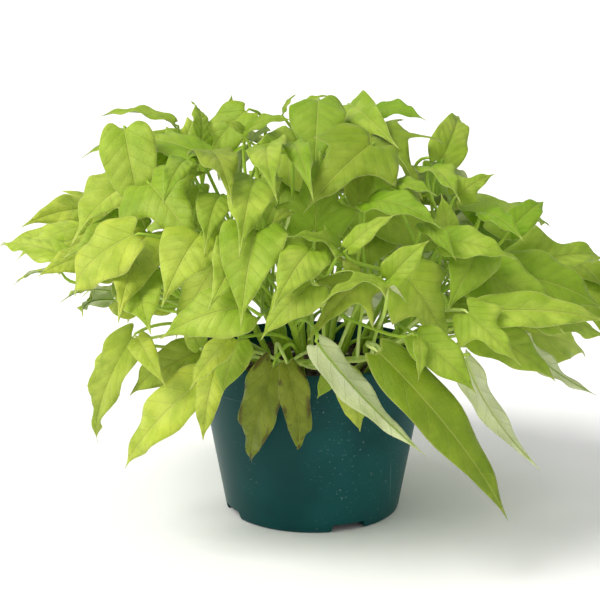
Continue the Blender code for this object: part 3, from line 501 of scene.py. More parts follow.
def tube_room(path, radius):
    """A four sided tube along a path."""
    corners = []
    for index, point in enumerate(path):
        along = (path[min(index + 1, len(path) - 1)] - path[max(index - 1, 0)]).normalized()
        side = along.cross(OFF_AXIS).normalized()
        other = along.cross(side)
        corners += [point + way * radius for way in (side, other, -side, -other)]
    return corners, ring_faces(len(path), 4)


def pot_room():
    """The pot and its soil, with room round them."""
    room = POT_ROOM
    profile = [
        (FOOT_RADIUS + room, 0),
        (RIM_RADIUS + room, BAND_FOOT),
        (RIM_RADIUS + room, POT_HEIGHT + room),
        (RIM_RADIUS - POT_WALL - room, POT_HEIGHT + room),
        (inner_radius(SOIL_TOP) - room, SOIL_TOP + room),
        (POT_ROOM_TIP, SOIL_TOP + SOIL_CROWN + 2 * room),
    ]
    angles = [side * math.tau / POT_SIDES for side in range(POT_SIDES)]
    corners = [around(angle, radius, height) for radius, height in profile for angle in angles]
    return corners, ring_faces(len(profile), POT_SIDES)


def limits(corners):
    """The least and the greatest measure of some corners, along each axis."""
    return [(min(measures), max(measures)) for measures in zip(*corners)]


class Taken:
    """The room that the placed solids take."""

    def __init__(self):
        self.solids = []

    def add(self, room, owner=None):
        tree = BVHTree.FromPolygons(*room)
        self.solids.append((limits(room[0]), tree, owner))
        return tree

    def free(self, room, but=None):
        """Whether a room crosses nothing, apart from what one owner has taken."""
        box = limits(room[0])
        tree = BVHTree.FromPolygons(*room)
        for other_box, other, owner in self.solids:
            if but is not None and owner == but:
                continue
            if any(low > top or high < bottom for (low, high), (bottom, top) in zip(box, other_box)):
                continue
            if tree.overlap(other):
                return False
        return True


def curved(controls, steps):
    """Points along a smooth curve through all the control points."""
    ends = [controls[0] * 2 - controls[1], *controls, controls[-1] * 2 - controls[-2]]
    points = []
    for a, b, c, d in zip(ends, ends[1:], ends[2:], ends[3:]):
        square = a * 2 - b * 5 + c * 4 - d
        cube = b * 3 - a - c * 3 + d
        for step in range(steps):
            t = step / steps
            points.append((b * 2 + (c - a) * t + square * t**2 + cube * t**3) / 2)
    return [*points, controls[-1].copy()]


def stem_line(route, steps):
    """The stem's centre line: upright in its hole, then curved."""
    return [route[0], *curved(route[1:], steps)]


def leaning(pair, share):
    """A measure at the pot's centre, and its change towards the edge, at a share of the way."""
    return pair[0] + pair[1] * share


def stem_routes():
    """The control points of each stem, from its foot in the soil to its tip."""
    routes = [[Vector(point) * MM for point in route] for route in TRAILING_STEMS]
    for index in range(VINE_COUNT):
        angle = index * GOLDEN_ANGLE + FIRST_VINE_ANGLE
        share = math.sqrt((index + FIRST_ROOT) / VINE_COUNT)
        outward = around(angle, 1)
        foot = outward * ROOT_SPREAD * share + UP * (SOIL_TOP - ROOT_DEPTH + FIT_GAP)
        collar = foot + UP * (ROOT_DEPTH + COLLAR_RISE)
        middle = collar + outward * leaning(LOWER_LEAN, share) + UP * leaning(LOWER_CLIMB, share)
        top = middle + outward * leaning(UPPER_LEAN, share) + UP * leaning(UPPER_CLIMB, share)
        routes.append([foot, collar, middle, top])
    return routes


def petiole_path(leaf, root, spring, sway, steps):
    """Points of a petiole from behind its blade down to its root."""
    reach = (leaf.base - root).length
    neck = leaf.base - leaf.forward * PETIOLE_NECK
    back = (leaf.forward * (1 - PETIOLE_DROP) + leaf.normal * PETIOLE_DROP).normalized()
    leave = neck - back * reach * NECK_REACH
    rise = ((leaf.base - root).normalized() + UP * spring + leaf.across * sway).normalized()
    arrive = root + rise * reach * ROOT_REACH
    path = []
    for step in range(steps + 1):
        t = step / steps
        rest = 1 - t
        bent = leave * 3 * t * rest**2 + arrive * 3 * t**2 * rest
        path.append(neck * rest**3 + bent + root * t**3)
    return path


class Growth:
    """Grows the stems, then places each leaf where it crosses nothing that is there already."""

    def __init__(self):
        self.draw = random.Random(LEAF_SEED)
        self.taken = Taken()
        self.taken.add(pot_room())
        self.leaves, self.blades, self.nodes = [], [], []
        for vine, route in enumerate(stem_routes()):
            stem = stem_line(route, STEM_STEPS)
            self.taken.add(tube_room(stem, STEM_RADIUS + STEM_ROOM), owner=vine)
            line = [point for point in stem_line(route, NODE_STEPS) if point.z > LOWEST_NODE]
            for node in range(NODES_PER_VINE):
                share = node / (NODES_PER_VINE - 1)
                self.nodes.append((vine, line[round(share * (len(line) - 2))]))

    def shape(self):
        """A blade's arch, fold, droop and twist."""
        return [self.draw.uniform(*pair) for pair in (ARCHES, FOLDS, DROOPS, TWISTS)]

    def drawn(self, yaws, falls):
        """The form, length, yaw, fall and shape of a leaf that the photograph doesn't show."""
        form = self.draw.choice(FILL_FORMS)
        size = self.draw.uniform(*FILL_LENGTHS) * MM
        yaw = self.draw.uniform(-yaws, yaws)
        return form, size, yaw, self.draw.uniform(*falls), self.shape()

    def shaded(self, start, ray):
        """Whether a ray meets a blade."""
        return any(blade.ray_cast(start, ray)[0] for blade in self.blades)

    def attach(self, leaf):
        """Places a leaf if its blade, and a petiole from it to some free node, find room."""
        blade = blade_room(leaf)
        if not self.taken.free(blade):
            return False
        bearing = (leaf.base - CROWN_CENTRE).normalized()
        options = []
        for index, (_, root) in enumerate(self.nodes):
            away = (leaf.base - root).length
            if away >= LEAST_PETIOLE:
                aside = abs((root.xy - CROWN_CENTRE.xy).normalized().cross(bearing.xy)) * SIDEWAYS_COST
                below = max(0, root.z - leaf.base.z + LEAST_CLIMB) * CLIMB_COST
                options.append((abs(away - USUAL_PETIOLE) + aside + below, index))
        for _, index in sorted(options)[:NODE_CHOICES]:
            vine, root = self.nodes[index]
            for way in PETIOLE_WAYS:
                room = tube_room(petiole_path(leaf, root, *way, PETIOLE_STEPS), PETIOLE_ROOM)
                if self.taken.free(room, but=vine):
                    leaf.path = petiole_path(leaf, root, *way, FINE_PETIOLE_STEPS)
                    leaf.vine, leaf.order = vine, len(self.leaves)
                    del self.nodes[index]
                    self.taken.add(room)
                    self.blades.append(self.taken.add(blade))
                    self.leaves.append(leaf)
                    return True
        return False

    def fit(self, leaf):
        """Places a leaf that the photograph doesn't show, if it stays inside the outline."""
        for corner in blade_room(leaf)[0]:
            if corner.z <= FILL_FLOOR or not inside(CROWN_OUTLINE, *pixel_of(corner)):
                return False
        return self.attach(leaf)

    def seen(self, form, width, base, tip, roll=0):
        """The places to try for one of the leaves that the photograph shows."""
        shape = self.shape()
        view = through_pixel(*tip[:2])
        for shift in SEEN_SHIFTS:
            low = on_crown(*base) + through_pixel(*base[:2]) * shift
            along = on_crown(*tip) + view * shift - low
            depth = along.dot(view)
            shown = (along - view * depth).length
            most = math.sqrt(max(LONGEST_LEAF**2 - shown**2, (LEAST_DEPTH * shown) ** 2))
            along -= view * (depth - max(-most, min(most, depth)))
            high = low + along
            facing = facing_normal((low + high) / 2)
            seen_width = width * max(LEAST_SHOWN, shown / along.length)
            for extra in SEEN_ROLLS:
                spin = Matrix.Rotation(math.radians(roll + extra), 3, along.normalized())
                yield Leaf(form, seen_width, low, high, spin @ facing, *shape)

    def facing(self, index):
        """The places to try where the crown still shows a gap from the front."""
        x = GAP_CORNER[0] + GAP_SPAN[0] * (index / PLASTIC_NUMBER % 1)
        y = GAP_CORNER[1] + GAP_SPAN[1] * (index / PLASTIC_NUMBER**2 % 1)
        if not inside(CROWN_OUTLINE, x, y) or self.shaded(CAMERA, through_pixel(x, y)):
            return
        form, size, yaw, fall, shape = self.drawn(GAP_YAW, GAP_FALL)
        for layer in GAP_LAYERS:
            middle = on_crown(x, y, layer)
            outward = middle - CROWN_CENTRE
            level = Vector((outward.x, outward.y, 0)).normalized()
            for turn in GAP_TURNS:
                ahead = Matrix.Rotation(yaw + turn, 3, "Z") @ level
                ahead = ahead * math.cos(fall) - UP * math.sin(fall)
                for part, reach in GAP_SIZES:
                    start = middle - ahead * size * part * reach
                    tip = start + ahead * size * part
                    yield Leaf(form, FILL_WIDTH, start, tip, facing_normal(middle), *shape)

    def filling(self, index):
        """The places to try where light still falls, at a point of an even spread over the crown."""
        height = 1 - FILL_SPHERE * (index + 0.5) / FILL_TRIES
        outward = around(index * GOLDEN_ANGLE, math.sqrt(max(0, 1 - height**2)), height)
        spot = scaled(outward, CROWN_AXES)
        light = CROWN_CENTRE + spot * LIGHT_LAYER
        if self.shaded(light, CROWN_CENTRE - light):
            return
        base = CROWN_CENTRE + spot * FILL_LAYERS[index % len(FILL_LAYERS)]
        form, size, yaw, fall, shape = self.drawn(FILL_YAW, FILL_FALL)
        yaw *= 1 + FILL_TOP_YAW * max(0, height)
        fall *= FILL_TOP_FALL - height
        level = Matrix.Rotation(yaw, 3, "Z") @ Vector((outward.x, outward.y, 0)).normalized()
        heading = (level * math.cos(fall) - UP * math.sin(fall)).normalized()
        lean = self.draw.uniform(-FILL_LEAN, FILL_LEAN)
        for turn in FILL_TURNS:
            ahead = Matrix.Rotation(turn, 3, "Z") @ heading
            normal = Matrix.Rotation(lean, 3, ahead) @ (UP * FILL_SKY + outward * FILL_OUTWARD)
            for inward in FILL_INWARD:
                start = base - outward * inward
                yield Leaf(form, FILL_WIDTH, start, start + ahead * size, normal, *shape)

    def run(self):
        """Tries each leaf's places in turn, until it fits one of them."""
        for row in SEEN_LEAVES:
            any(map(self.attach, self.seen(*row)))
        for index in range(GAP_TRIES):
            any(map(self.fit, self.facing(index)))
        for index in range(FILL_TRIES):
            if len(self.leaves) < LEAF_LIMIT:
                any(map(self.fit, self.filling(index * FILL_STRIDE % FILL_TRIES)))


# Looks

# A fine blade's rows of points and their way from its edge, in lengths of the blade
FINE_SPACING = 0.037
ROW_RATIO = 0.87
ROWS_START, ROWS_REACH, ROWS_HALF_WIDTH = -0.2, 1.3, 0.7
EDGE_CLEARANCE = 0.45
MARGIN_STEPS = 7
FINE_THICKNESS = 0.5 * MM
RIM_THINNING, RIM_THINNING_BAND = 0.35, 0.03

# A blade's relief: quilted between its veins, and waved at its margin
VEIN_SPACING = 0.14
VEIN_RISE = 0.9
VEIN_BEND = 0.35
QUILT = 0.9 * MM
QUILT_ROUNDING = 0.7
QUILT_FADE = 0.05
MARGIN_WAVE = 2.0 * MM
MARGIN_BAND = 0.14
MARGIN_PITCH = 17
MARGIN_PHASE = 2.1
WAVE_FADE = 0.1
USUAL_LEAF = 65 * MM
MOST_RELIEF = 1.3

# Fine petioles and midribs, and the stems' swollen nodes
FINE_PETIOLE_STEPS = 14
PETIOLE_RADIUS = 1.05 * MM
PETIOLE_FOOT_RADIUS = 1.4 * MM
PETIOLE_FOOT_SHARE = 0.15
PETIOLE_NECK_SHARE, PETIOLE_NECK_THINNING = 0.1, 0.25
MIDRIB_RADIUS = 0.42 * MM
MIDRIB_STEPS = 12
MIDRIB_REACH = 0.9
MIDRIB_BASE = 1.1
MIDRIB_DEPTH = 0.1 * MM
NODE_SWELLING = 0.5 * MM
NODE_REACH = 5 * MM

# Leaves' ages and tones; the old leaves, and the leaf darkened all over as painted shade, are given by
# their order of growth
LOOK_SEED = 23
OLD_LEAVES = (4, 5)
OLD_AGES = (0.75, 1)
YOUNG_AGE, YOUNG_POWER = 0.5, 6
PAINTED_SHADE_LEAF = 0
PAINTED_SHADE_AGE = 0.5
TONE_SPREAD = 0.6
# Painted light and shade in a blade's tone: paler on the crown's left, where the key light falls, darker
# above the given level of the crown and paler below it
PAINTED_LIGHT_LEFT = 0.45
PAINTED_SHADE_HIGH = 0.55
PAINTED_SHADE_LEVEL = 0.45
PALE_VINES = 3

# The leaves' material
VEIN_NET = 26
BRANCH_VEIN, NET_VEIN = 0.6, 0.2
# Painted highlight: how much of the drift pattern paints pale highlight patches on a blade's top, rising
# with its tone
PAINTED_HIGHLIGHT_SHARE = (0.55, 0.15)
OLD_FADING = 0.6
RAGGED_TIP = 0.06
LEAF_ROUGHNESS, MOTTLE_ROUGHNESS = 0.42, 0.12
VEIN_GROOVE = 1.4
LIGHT_THROUGH = 0.32

# The fine pot's lip and the foot of its rim band, in millimetres inward from the rim, and down from
# the top or up from the band's foot; then its wall, its foot and its inside
LIP_PROFILE = [(1.9, 0), (1, 0), (0.3, 0.3), (0, 1), (0.1, 2.6)]
BAND_PROFILE = [(1, 1.6), (1.15, 0.7), (1.6, 0.15)]
WALL_HEIGHTS = (BAND_FOOT, BAND_FOOT - 0.8 * MM, BAND_FOOT / 2, 2.4 * MM)
FOOT_EDGE = (FOOT_RADIUS - 0.1 * MM, 0.7 * MM)
FOOT_RING = 4 * MM
LIP_DROP = 0.4 * MM
FINE_POT_SIDES = 144
SHARP_EDGE = math.radians(32)

# The pot's material
SCRATCH_TURN = (0.5, 0.9, 0.3)
SCRATCH_STRETCH = (900, 14, 14)
SCRATCH_DEPTH = 0.8
POT_ROUGHNESS, CLOUD_ROUGHNESS, DUST_ROUGHNESS = 0.36, 0.12, 0.3

# Grains on the soil: their number, their least and greatest size and a seed, then their shape
GRAINS = {
    "soil_crumbs": (900, (0.8 * MM, 2.2 * MM), 5),
    "perlite": (70, (0.9 * MM, 1.8 * MM), 6),
}
GRAIN_MARGIN = 4 * MM
GRAIN_STRETCH = ((0.7, 1.3), (0.7, 1.3), (0.5, 0.9))
GRAIN_RISE = 0.15
LUMP_HEIGHT, LUMP_SCALE, LUMP_SHIFT = 0.35, 1.7, 900

# Studio
FLOOR_REACH = 60
FLOOR_DROP = 0.2 * MM
WORLD_LIGHT = 0.68
KEY_LIGHT = 2.75
KEY_SOFTNESS = math.radians(32)
KEY_FROM = (-0.85, -0.55, 1.15)
KEY_TINT = (1.0, 0.985, 0.95)
SENSOR_WIDTH = 36

# Surface colours
TINTS = {
    "leaf green": (0.21, 0.38, 0.006),
    "leaf lime": (0.60, 0.73, 0.08),
    "leaf yellow": (0.70, 0.72, 0.07),
    "leaf painted highlight": (0.68, 0.76, 0.14),
    "leaf dark patch": (0.16, 0.31, 0.006),
    "leaf vein": (0.68, 0.76, 0.16),
    "leaf margin": (0.74, 0.76, 0.24),
    "old leaf": (0.28, 0.34, 0.02),
    "old leaf patch": (0.17, 0.23, 0.01),
    "leaf spot": (0.10, 0.055, 0.015),
    "leaf below": (0.86, 0.93, 0.48),
    "leaf below patch": (0.90, 0.94, 0.60),
    "vein below": (0.42, 0.60, 0.10),
    "light through": (0.46, 0.68, 0.008),
    "light through veins": (0.34, 0.5, 0.015),
    "light through old": (0.18, 0.2, 0.008),
    "green stem": (0.30, 0.47, 0.035),
    "green stem light": (0.44, 0.63, 0.06),
    "green stem streak": (0.23, 0.40, 0.02),
    "pale stem": (0.46, 0.62, 0.10),
    "pale stem light": (0.62, 0.73, 0.25),
    "pale stem streak": (0.34, 0.50, 0.08),
    "pot": (0.003, 0.050, 0.050),
    "pot light": (0.006, 0.078, 0.076),
    "pot dust": (0.30, 0.42, 0.38),
    "pot scratch": (0.16, 0.28, 0.26),
    "peat": (0.012, 0.008, 0.005),
    "peat light": (0.075, 0.045, 0.026),
    "peat fibre": (0.16, 0.1, 0.055),
    "perlite pit painted shade": (0.5, 0.47, 0.4),
    "perlite": (0.8, 0.78, 0.72),
    "floor": (0.94, 0.94, 0.94),
}

# Noise patterns: their scale, detail and roughness, then, where a share is made of them, the values
# between which it rises from 0 to 1. Measures of the blade have only those two values
PATTERNS = {
    "leaf mottle": (60, 5, 0.6, 0.35, 0.68),
    "leaf drift and painted highlight": (2.4, 2, 0.5, 0.4, 0.68),
    "leaf spots": (7, 3, 0.5, 0.52, 0.6),
    "leaf grain": (900, 2, 0.5),
    "midrib": (0.003, 0.013),
    "midrib end": (0, 0.02),
    "branch vein": (0.462, 0.5),
    "net vein": (0, 0.09),
    "margin": (0.002, 0.012),
    "yellow tone": (0.86, 0.98),
    "brown margin": (0.03, 0.09),
    "brown tip": (0.93, 0.99),
    "brown age": (0.55, 0.75),
    "stem patches": (30, 2, 0.5, 0.4, 0.7),
    "stem streaks": (240, 3, 0.5, 0.5, 0.75),
    "pot cloud": (13, 4, 0.5, 0.42, 0.66),
    "pot specks": (520, 2, 0.6, 0.655, 0.7),
    "pot patches": (17, 3, 0.5, 0.48, 0.64),
    "pot scratches": (1, 1, 0.5, 0.74, 0.79),
    "pot grain": (1400, 2, 0.5),
    "peat lumps": (190, 6, 0.65, 0.35, 0.68),
    "peat fibre": (700, 3, 0.7, 0.62, 0.7),
    "perlite pits": (1500, 3, 0.7),
}

# Which of a form's outline points are pointed lobes, by their place in the half outline
POINTED = {"heart": (), "oval": (), "lobed": (3,), "star": (2, 4), "lance": ()}


def rounded_half(form):
    """A form's half outline as a smooth line that keeps its lobes pointed."""
    controls = half_outline(form)
    line = []
    start = 0
    for stop in [*POINTED[form], len(controls) - 1]:
        line += curved(controls[start:stop + 1], MARGIN_STEPS)[:-1]
        start = stop
    return [*line, controls[-1]]


@functools.cache
def fine_layout(form):
    """Points, triangles, rim edges and edge distances of a finely divided blade."""
    outline = mirrored(rounded_half(form))
    edges = loop(len(outline))

    def edge_distance(point):
        best = 1.0
        for i, j in edges:
            start = outline[i]
            along = outline[j] - start
            share = max(0, min(1, (point - start).dot(along) / along.length_squared))
            best = min(best, (point - start - along * share).length)
        return best

    points = list(outline)
    for row in range(int(ROWS_REACH / (FINE_SPACING * ROW_RATIO))):
        y = ROWS_START + row * FINE_SPACING * ROW_RATIO
        xs = [0.0]
        x = FINE_SPACING / 2 if row % 2 else FINE_SPACING
        while x < ROWS_HALF_WIDTH:
            xs += [x, -x]
            x += FINE_SPACING
        for x in xs:
            point = Vector((x, y))
            if inside(outline, *point) and edge_distance(point) > FINE_SPACING * EDGE_CLEARANCE:
                points.append(point)
    found, _, faces = delaunay_2d_cdt(points, edges, [], 1, OUTLINE_TOLERANCE)[:3]
    triangles = [upward(found, face) for face in faces if len(face) == 3]
    uses = dict.fromkeys(edge for a, b, c in triangles for edge in ((a, b), (b, c), (c, a)))
    rim = [edge for edge in uses if (edge[1], edge[0]) not in uses]
    return found, triangles, rim, [edge_distance(point) for point in found]


def relief(x, y, edge, phase):
    """How far the blade's surface stands up: quilted between its veins, and waved at its margin."""
    side = abs(x)
    step = (y - VEIN_RISE * side + VEIN_BEND * side**2) / VEIN_SPACING
    quilt = abs(math.sin(math.pi * step)) ** QUILT_ROUNDING
    quilt *= min(1, side / QUILT_FADE) * min(1, edge / QUILT_FADE)
    near_margin = max(0, 1 - edge / MARGIN_BAND) ** 2
    wave = math.sin(y * MARGIN_PITCH + phase + (MARGIN_PHASE if x > 0 else 0)) * near_margin
    return QUILT * quilt + MARGIN_WAVE * wave * min(1, side / WAVE_FADE)


def leaf_tone_and_painted_light(leaf, chance):
    """How pale a blade is: a random tone, with painted light that makes it paler on the crown's left and
    painted shade that makes it darker high up and paler low down.
    """
    left = -leaf.base.x / CROWN_AXES.x
    high = (leaf.base.z - CROWN_CENTRE.z) / CROWN_AXES.z - PAINTED_SHADE_LEVEL
    tone_and_painted_light = chance * TONE_SPREAD + (1 - TONE_SPREAD) / 2 + left * PAINTED_LIGHT_LEFT - high * PAINTED_SHADE_HIGH
    return max(0, min(1, tone_and_painted_light))


def fine_leaves(number, leaves, look):
    """The blades of one vine as closed thin solids, with what their material reads."""
    draw = random.Random(LOOK_SEED + number)
    corners, faces, blade, drawn = [], [], [], []
    for leaf in leaves:
        points, triangles, rim, distances = fine_layout(leaf.form)
        tone_and_painted_light = leaf_tone_and_painted_light(leaf, draw.random())
        if leaf.order in OLD_LEAVES:
            age = draw.uniform(*OLD_AGES)
        else:
            age = draw.random() ** YOUNG_POWER * YOUNG_AGE
        # Painted shade: this leaf is given the darkest tone and a half old colour, as if it lay in shade
        if leaf.order == PAINTED_SHADE_LEAF:
            tone_and_painted_light, age = 0, PAINTED_SHADE_AGE
        phase = draw.uniform(0, math.tau)
        first = len(corners)
        size = min(MOST_RELIEF, leaf.length / USUAL_LEAF)
        for side in (1, -1):
            for point, edge in zip(points, distances):
                surface, normal = leaf.at(*point)
                thin = min(1, RIM_THINNING + edge / RIM_THINNING_BAND)
                lift = relief(*point, edge, phase) * size + side * FINE_THICKNESS / 2 * thin
                corners.append(surface + normal * lift)
                blade.append((*point, edge))
                drawn.append((tone_and_painted_light, age, (side + 1) / 2))
        under = first + len(points)
        faces += [(a + first, b + first, c + first) for a, b, c in triangles]
        faces += [(c + under, b + under, a + under) for a, b, c in triangles]
        faces += [(b + first, a + first, a + under, b + under) for a, b in rim]
    name = f"vine_{number:02d}_leaves"
    mesh = bpy.data.meshes.new(name)
    mesh.from_pydata(corners, [], faces)
    for label, values in (("blade", blade), ("drawn", drawn)):
        attribute = mesh.attributes.new(label, "FLOAT_VECTOR", "POINT")
        attribute.data.foreach_set("vector", [value for row in values for value in row])
    mesh.shade_smooth()
    return place(name, mesh, look)


def add_line(curve, points, radii):
    spline = curve.splines.new("POLY")
    spline.points.add(len(points) - 1)
    for spot, point, radius in zip(spline.points, points, radii):
        spot.co = (*point, 1)
        spot.radius = radius


def petiole_radius(share):
    """The radius at a share of the way from a petiole's neck to its swollen foot."""
    foot = max(0, (share - 1) / PETIOLE_FOOT_SHARE + 1)
    neck = max(0, 1 - share / PETIOLE_NECK_SHARE)
    swelling = (PETIOLE_FOOT_RADIUS - PETIOLE_RADIUS) * foot
    return PETIOLE_RADIUS * (1 - PETIOLE_NECK_THINNING * neck) + swelling


def fine_stems(number, route, leaves, look):
    """A vine's stem with its petioles, each carried on along its blade as the midrib."""
    name = f"vine_{number:02d}_stems"
    curve = bpy.data.curves.new(name, "CURVE")
    curve.dimensions = "3D"
    curve.bevel_depth = 1
    curve.bevel_resolution = 3
    curve.use_fill_caps = True
    line = stem_line(route, NODE_STEPS)
    roots = [leaf.path[-1] for leaf in leaves]
    radii = []
    for index, point in enumerate(line):
        share = index / (len(line) - 1)
        radius = STEM_RADIUS + (STEM_TIP_RADIUS - STEM_RADIUS) * share
        near = min(((point - root).length for root in roots), default=1)
        radii.append(radius + NODE_SWELLING * max(0, 1 - near / NODE_REACH))
    add_line(curve, line, radii)
    for leaf in leaves:
        points, radii = [], []
        for step in range(MIDRIB_STEPS, -1, -1):
            share = step / MIDRIB_STEPS
            point, normal = leaf.at(0, share * MIDRIB_REACH)
            points.append(point - normal * (FINE_THICKNESS / 2 + MIDRIB_DEPTH))
            radii.append(MIDRIB_RADIUS * (MIDRIB_BASE - share))
        radii += [petiole_radius(step / FINE_PETIOLE_STEPS) for step in range(FINE_PETIOLE_STEPS + 1)]
        add_line(curve, [*points, *leaf.path], radii)
    guide = place(name + "_guide", curve)
    mesh = evaluated_mesh(guide)
    bpy.data.objects.remove(guide)
    mesh.name = name
    mesh.shade_smooth()
    return place(name, mesh, look)


class Nodes:
    """Short calls for building a material's nodes."""

    def __init__(self, name):
        self.made = bpy.data.materials.new(name)
        self.made.use_nodes = True
        self.tree = self.made.node_tree
        self.shader = self.tree.nodes["Principled BSDF"]

    def node(self, kind, **settings):
        made = self.tree.nodes.new("ShaderNode" + kind)
        for key, value in settings.items():
            setattr(made, key, value)
        return made

    def give(self, socket, value):
        """Links a socket to another node's output, or sets it to a number or a tint."""
        if isinstance(value, bpy.types.NodeSocket):
            self.tree.links.new(value, socket)
        else:
            socket.default_value = (*TINTS[value], 1) if isinstance(value, str) else value

    def surface(self, values):
        """Gives the shader's own sockets their values."""
        for name, value in values.items():
            self.give(self.shader.inputs[name], value)

    def here(self):
        """The place on the object."""
        return self.node("TexCoord").outputs["Object"]

    def math(self, operation, *values):
        made = self.node("Math", operation=operation)
        for socket, value in zip(made.inputs, values):
            self.give(socket, value)
        return made.outputs[0]

    def plus(self, first, second):
        return self.math("ADD", first, second)

    def minus(self, first, second):
        return self.math("SUBTRACT", first, second)

    def times(self, first, second):
        return self.math("MULTIPLY", first, second)

    def rise(self, value, name):
        """A share that goes smoothly from 0 to 1 between the two values of its name."""
        made = self.node("MapRange", interpolation_type="SMOOTHSTEP")
        self.give(made.inputs["Value"], value)
        for socket, limit in zip(("From Min", "From Max"), PATTERNS[name][-2:]):
            made.inputs[socket].default_value = limit
        return made.outputs["Result"]

    def noise(self, at, name):
        made = self.node("TexNoise")
        self.give(made.inputs["Vector"], at)
        for socket, value in zip(("Scale", "Detail", "Roughness"), PATTERNS[name]):
            made.inputs[socket].default_value = value
        return made.outputs["Fac"]

    def pattern(self, at, name):
        return self.rise(self.noise(at, name), name)

    def mix(self, share, first, second, most=1):
        """The first colour with the second one over it, as far as the share times the most."""
        made = self.node("Mix", data_type="RGBA")
        self.give(made.inputs[0], share if most == 1 else self.times(share, most))
        self.give(made.inputs[6], first)
        self.give(made.inputs[7], second)
        return made.outputs[2]

    def attribute(self, name):
        """What the mesh stores under a name, and its three parts."""
        stored = self.node("Attribute", attribute_name=name).outputs["Vector"]
        parts = self.node("SeparateXYZ")
        self.give(parts.inputs[0], stored)
        return stored, parts.outputs

    def bump(self, height, distance, strength):
        made = self.node("Bump")
        made.inputs["Strength"].default_value = strength
        made.inputs["Distance"].default_value = distance
        self.give(made.inputs["Height"], height)
        self.give(self.shader.inputs["Normal"], made.outputs["Normal"])
        return made.outputs["Normal"]


def leaf_look():
    """Chartreuse blades: fine veins, a pale margin, painted highlights in patches on the top, a paler
    underside, and brown spots when old.
    """
    look = Nodes("leaf_chartreuse")
    here = look.here()
    blade, (x, y, edge) = look.attribute("blade")
    _, (tone_and_painted_light, age, upper) = look.attribute("drawn")
    side = look.math("ABSOLUTE", x)
    bend = look.times(look.times(side, side), VEIN_BEND)
    line = look.plus(look.minus(y, look.times(side, VEIN_RISE)), bend)
    saw = look.math("FRACT", look.math("DIVIDE", line, VEIN_SPACING))
    branch = look.rise(look.math("ABSOLUTE", look.minus(saw, 0.5)), "branch vein")
    rib = look.times(look.minus(1, look.rise(side, "midrib")), look.rise(edge, "midrib end"))
    cells = look.node("TexVoronoi", feature="DISTANCE_TO_EDGE")
    cells.inputs["Scale"].default_value = VEIN_NET
    look.give(cells.inputs["Vector"], blade)
    net = look.minus(1, look.rise(cells.outputs["Distance"], "net vein"))
    vein = look.math("MAXIMUM", rib, look.times(branch, BRANCH_VEIN))
    vein = look.math("MAXIMUM", vein, look.times(net, NET_VEIN))
    margin = look.minus(1, look.rise(edge, "margin"))
    mottle = look.pattern(here, "leaf mottle")
    drift = look.pattern(blade, "leaf drift and painted highlight")

    # The tone carries painted light and shade, set by where the blade sits on the crown
    young = look.mix(tone_and_painted_light, "leaf green", "leaf lime")
    young = look.mix(look.rise(tone_and_painted_light, "yellow tone"), young, "leaf yellow", most=0.55)
    # Painted highlight: pale patches on the top stand in for sheen, more on paler blades; the same drift
    # pattern gives the underside its real patches
    pale = look.times(drift, look.math("MULTIPLY_ADD", tone_and_painted_light, *PAINTED_HIGHLIGHT_SHARE))
    young = look.mix(pale, young, "leaf painted highlight")
    young = look.mix(mottle, young, "leaf dark patch", most=0.45)
    top = look.mix(age, young, look.mix(mottle, "old leaf", "old leaf patch"))
    fresh = look.minus(1, look.times(age, OLD_FADING))
    top = look.mix(look.times(vein, fresh), top, "leaf vein", most=0.42)
    top = look.mix(look.times(margin, fresh), top, "leaf margin", most=0.45)
    below = look.mix(drift, "leaf below", "leaf below patch")
    below = look.mix(vein, below, "vein below", most=0.6)
    spots = look.times(look.pattern(blade, "leaf spots"), look.minus(1, look.rise(edge, "brown margin")))
    tip = look.rise(look.plus(y, look.times(mottle, RAGGED_TIP)), "brown tip")
    brown = look.times(look.math("MAXIMUM", spots, tip), look.rise(age, "brown age"))
    colour = look.mix(brown, look.mix(upper, below, top), "leaf spot", most=0.75)
    rough = look.plus(look.times(mottle, MOTTLE_ROUGHNESS), LEAF_ROUGHNESS)
    look.surface({"Base Color": colour, "Roughness": rough, "Specular IOR Level": 0.3})
    height = look.minus(look.noise(here, "leaf grain"), look.times(vein, VEIN_GROOVE))
    normal = look.bump(height, distance=0.35 * MM, strength=0.8)

    glow = look.node("BsdfTranslucent")
    through = look.mix(vein, "light through", "light through veins")
    look.give(glow.inputs["Color"], look.mix(age, through, "light through old"))
    look.give(glow.inputs["Normal"], normal)
    both = look.node("MixShader")
    for socket, value in zip(both.inputs, (LIGHT_THROUGH, look.shader.outputs[0], glow.outputs[0])):
        look.give(socket, value)
    look.give(look.tree.nodes["Material Output"].inputs["Surface"], both.outputs[0])
    return look.made


def stem_look(kind):
    """Stems with fine darker streaks and a waxy gloss."""
    look = Nodes("stem_" + kind)
    here = look.here()
    streaks = look.noise(here, "stem streaks")
    colour = look.mix(look.pattern(here, "stem patches"), kind + " stem", kind + " stem light")
    colour = look.mix(look.rise(streaks, "stem streaks"), colour, kind + " stem streak", most=0.4)
    look.surface({"Base Color": colour, "Roughness": 0.42, "Specular IOR Level": 0.3})
    look.surface({"Subsurface Weight": 0.12, "Subsurface Scale": 1 * MM})
    look.bump(streaks, distance=0.15 * MM, strength=0.5)
    return look.made


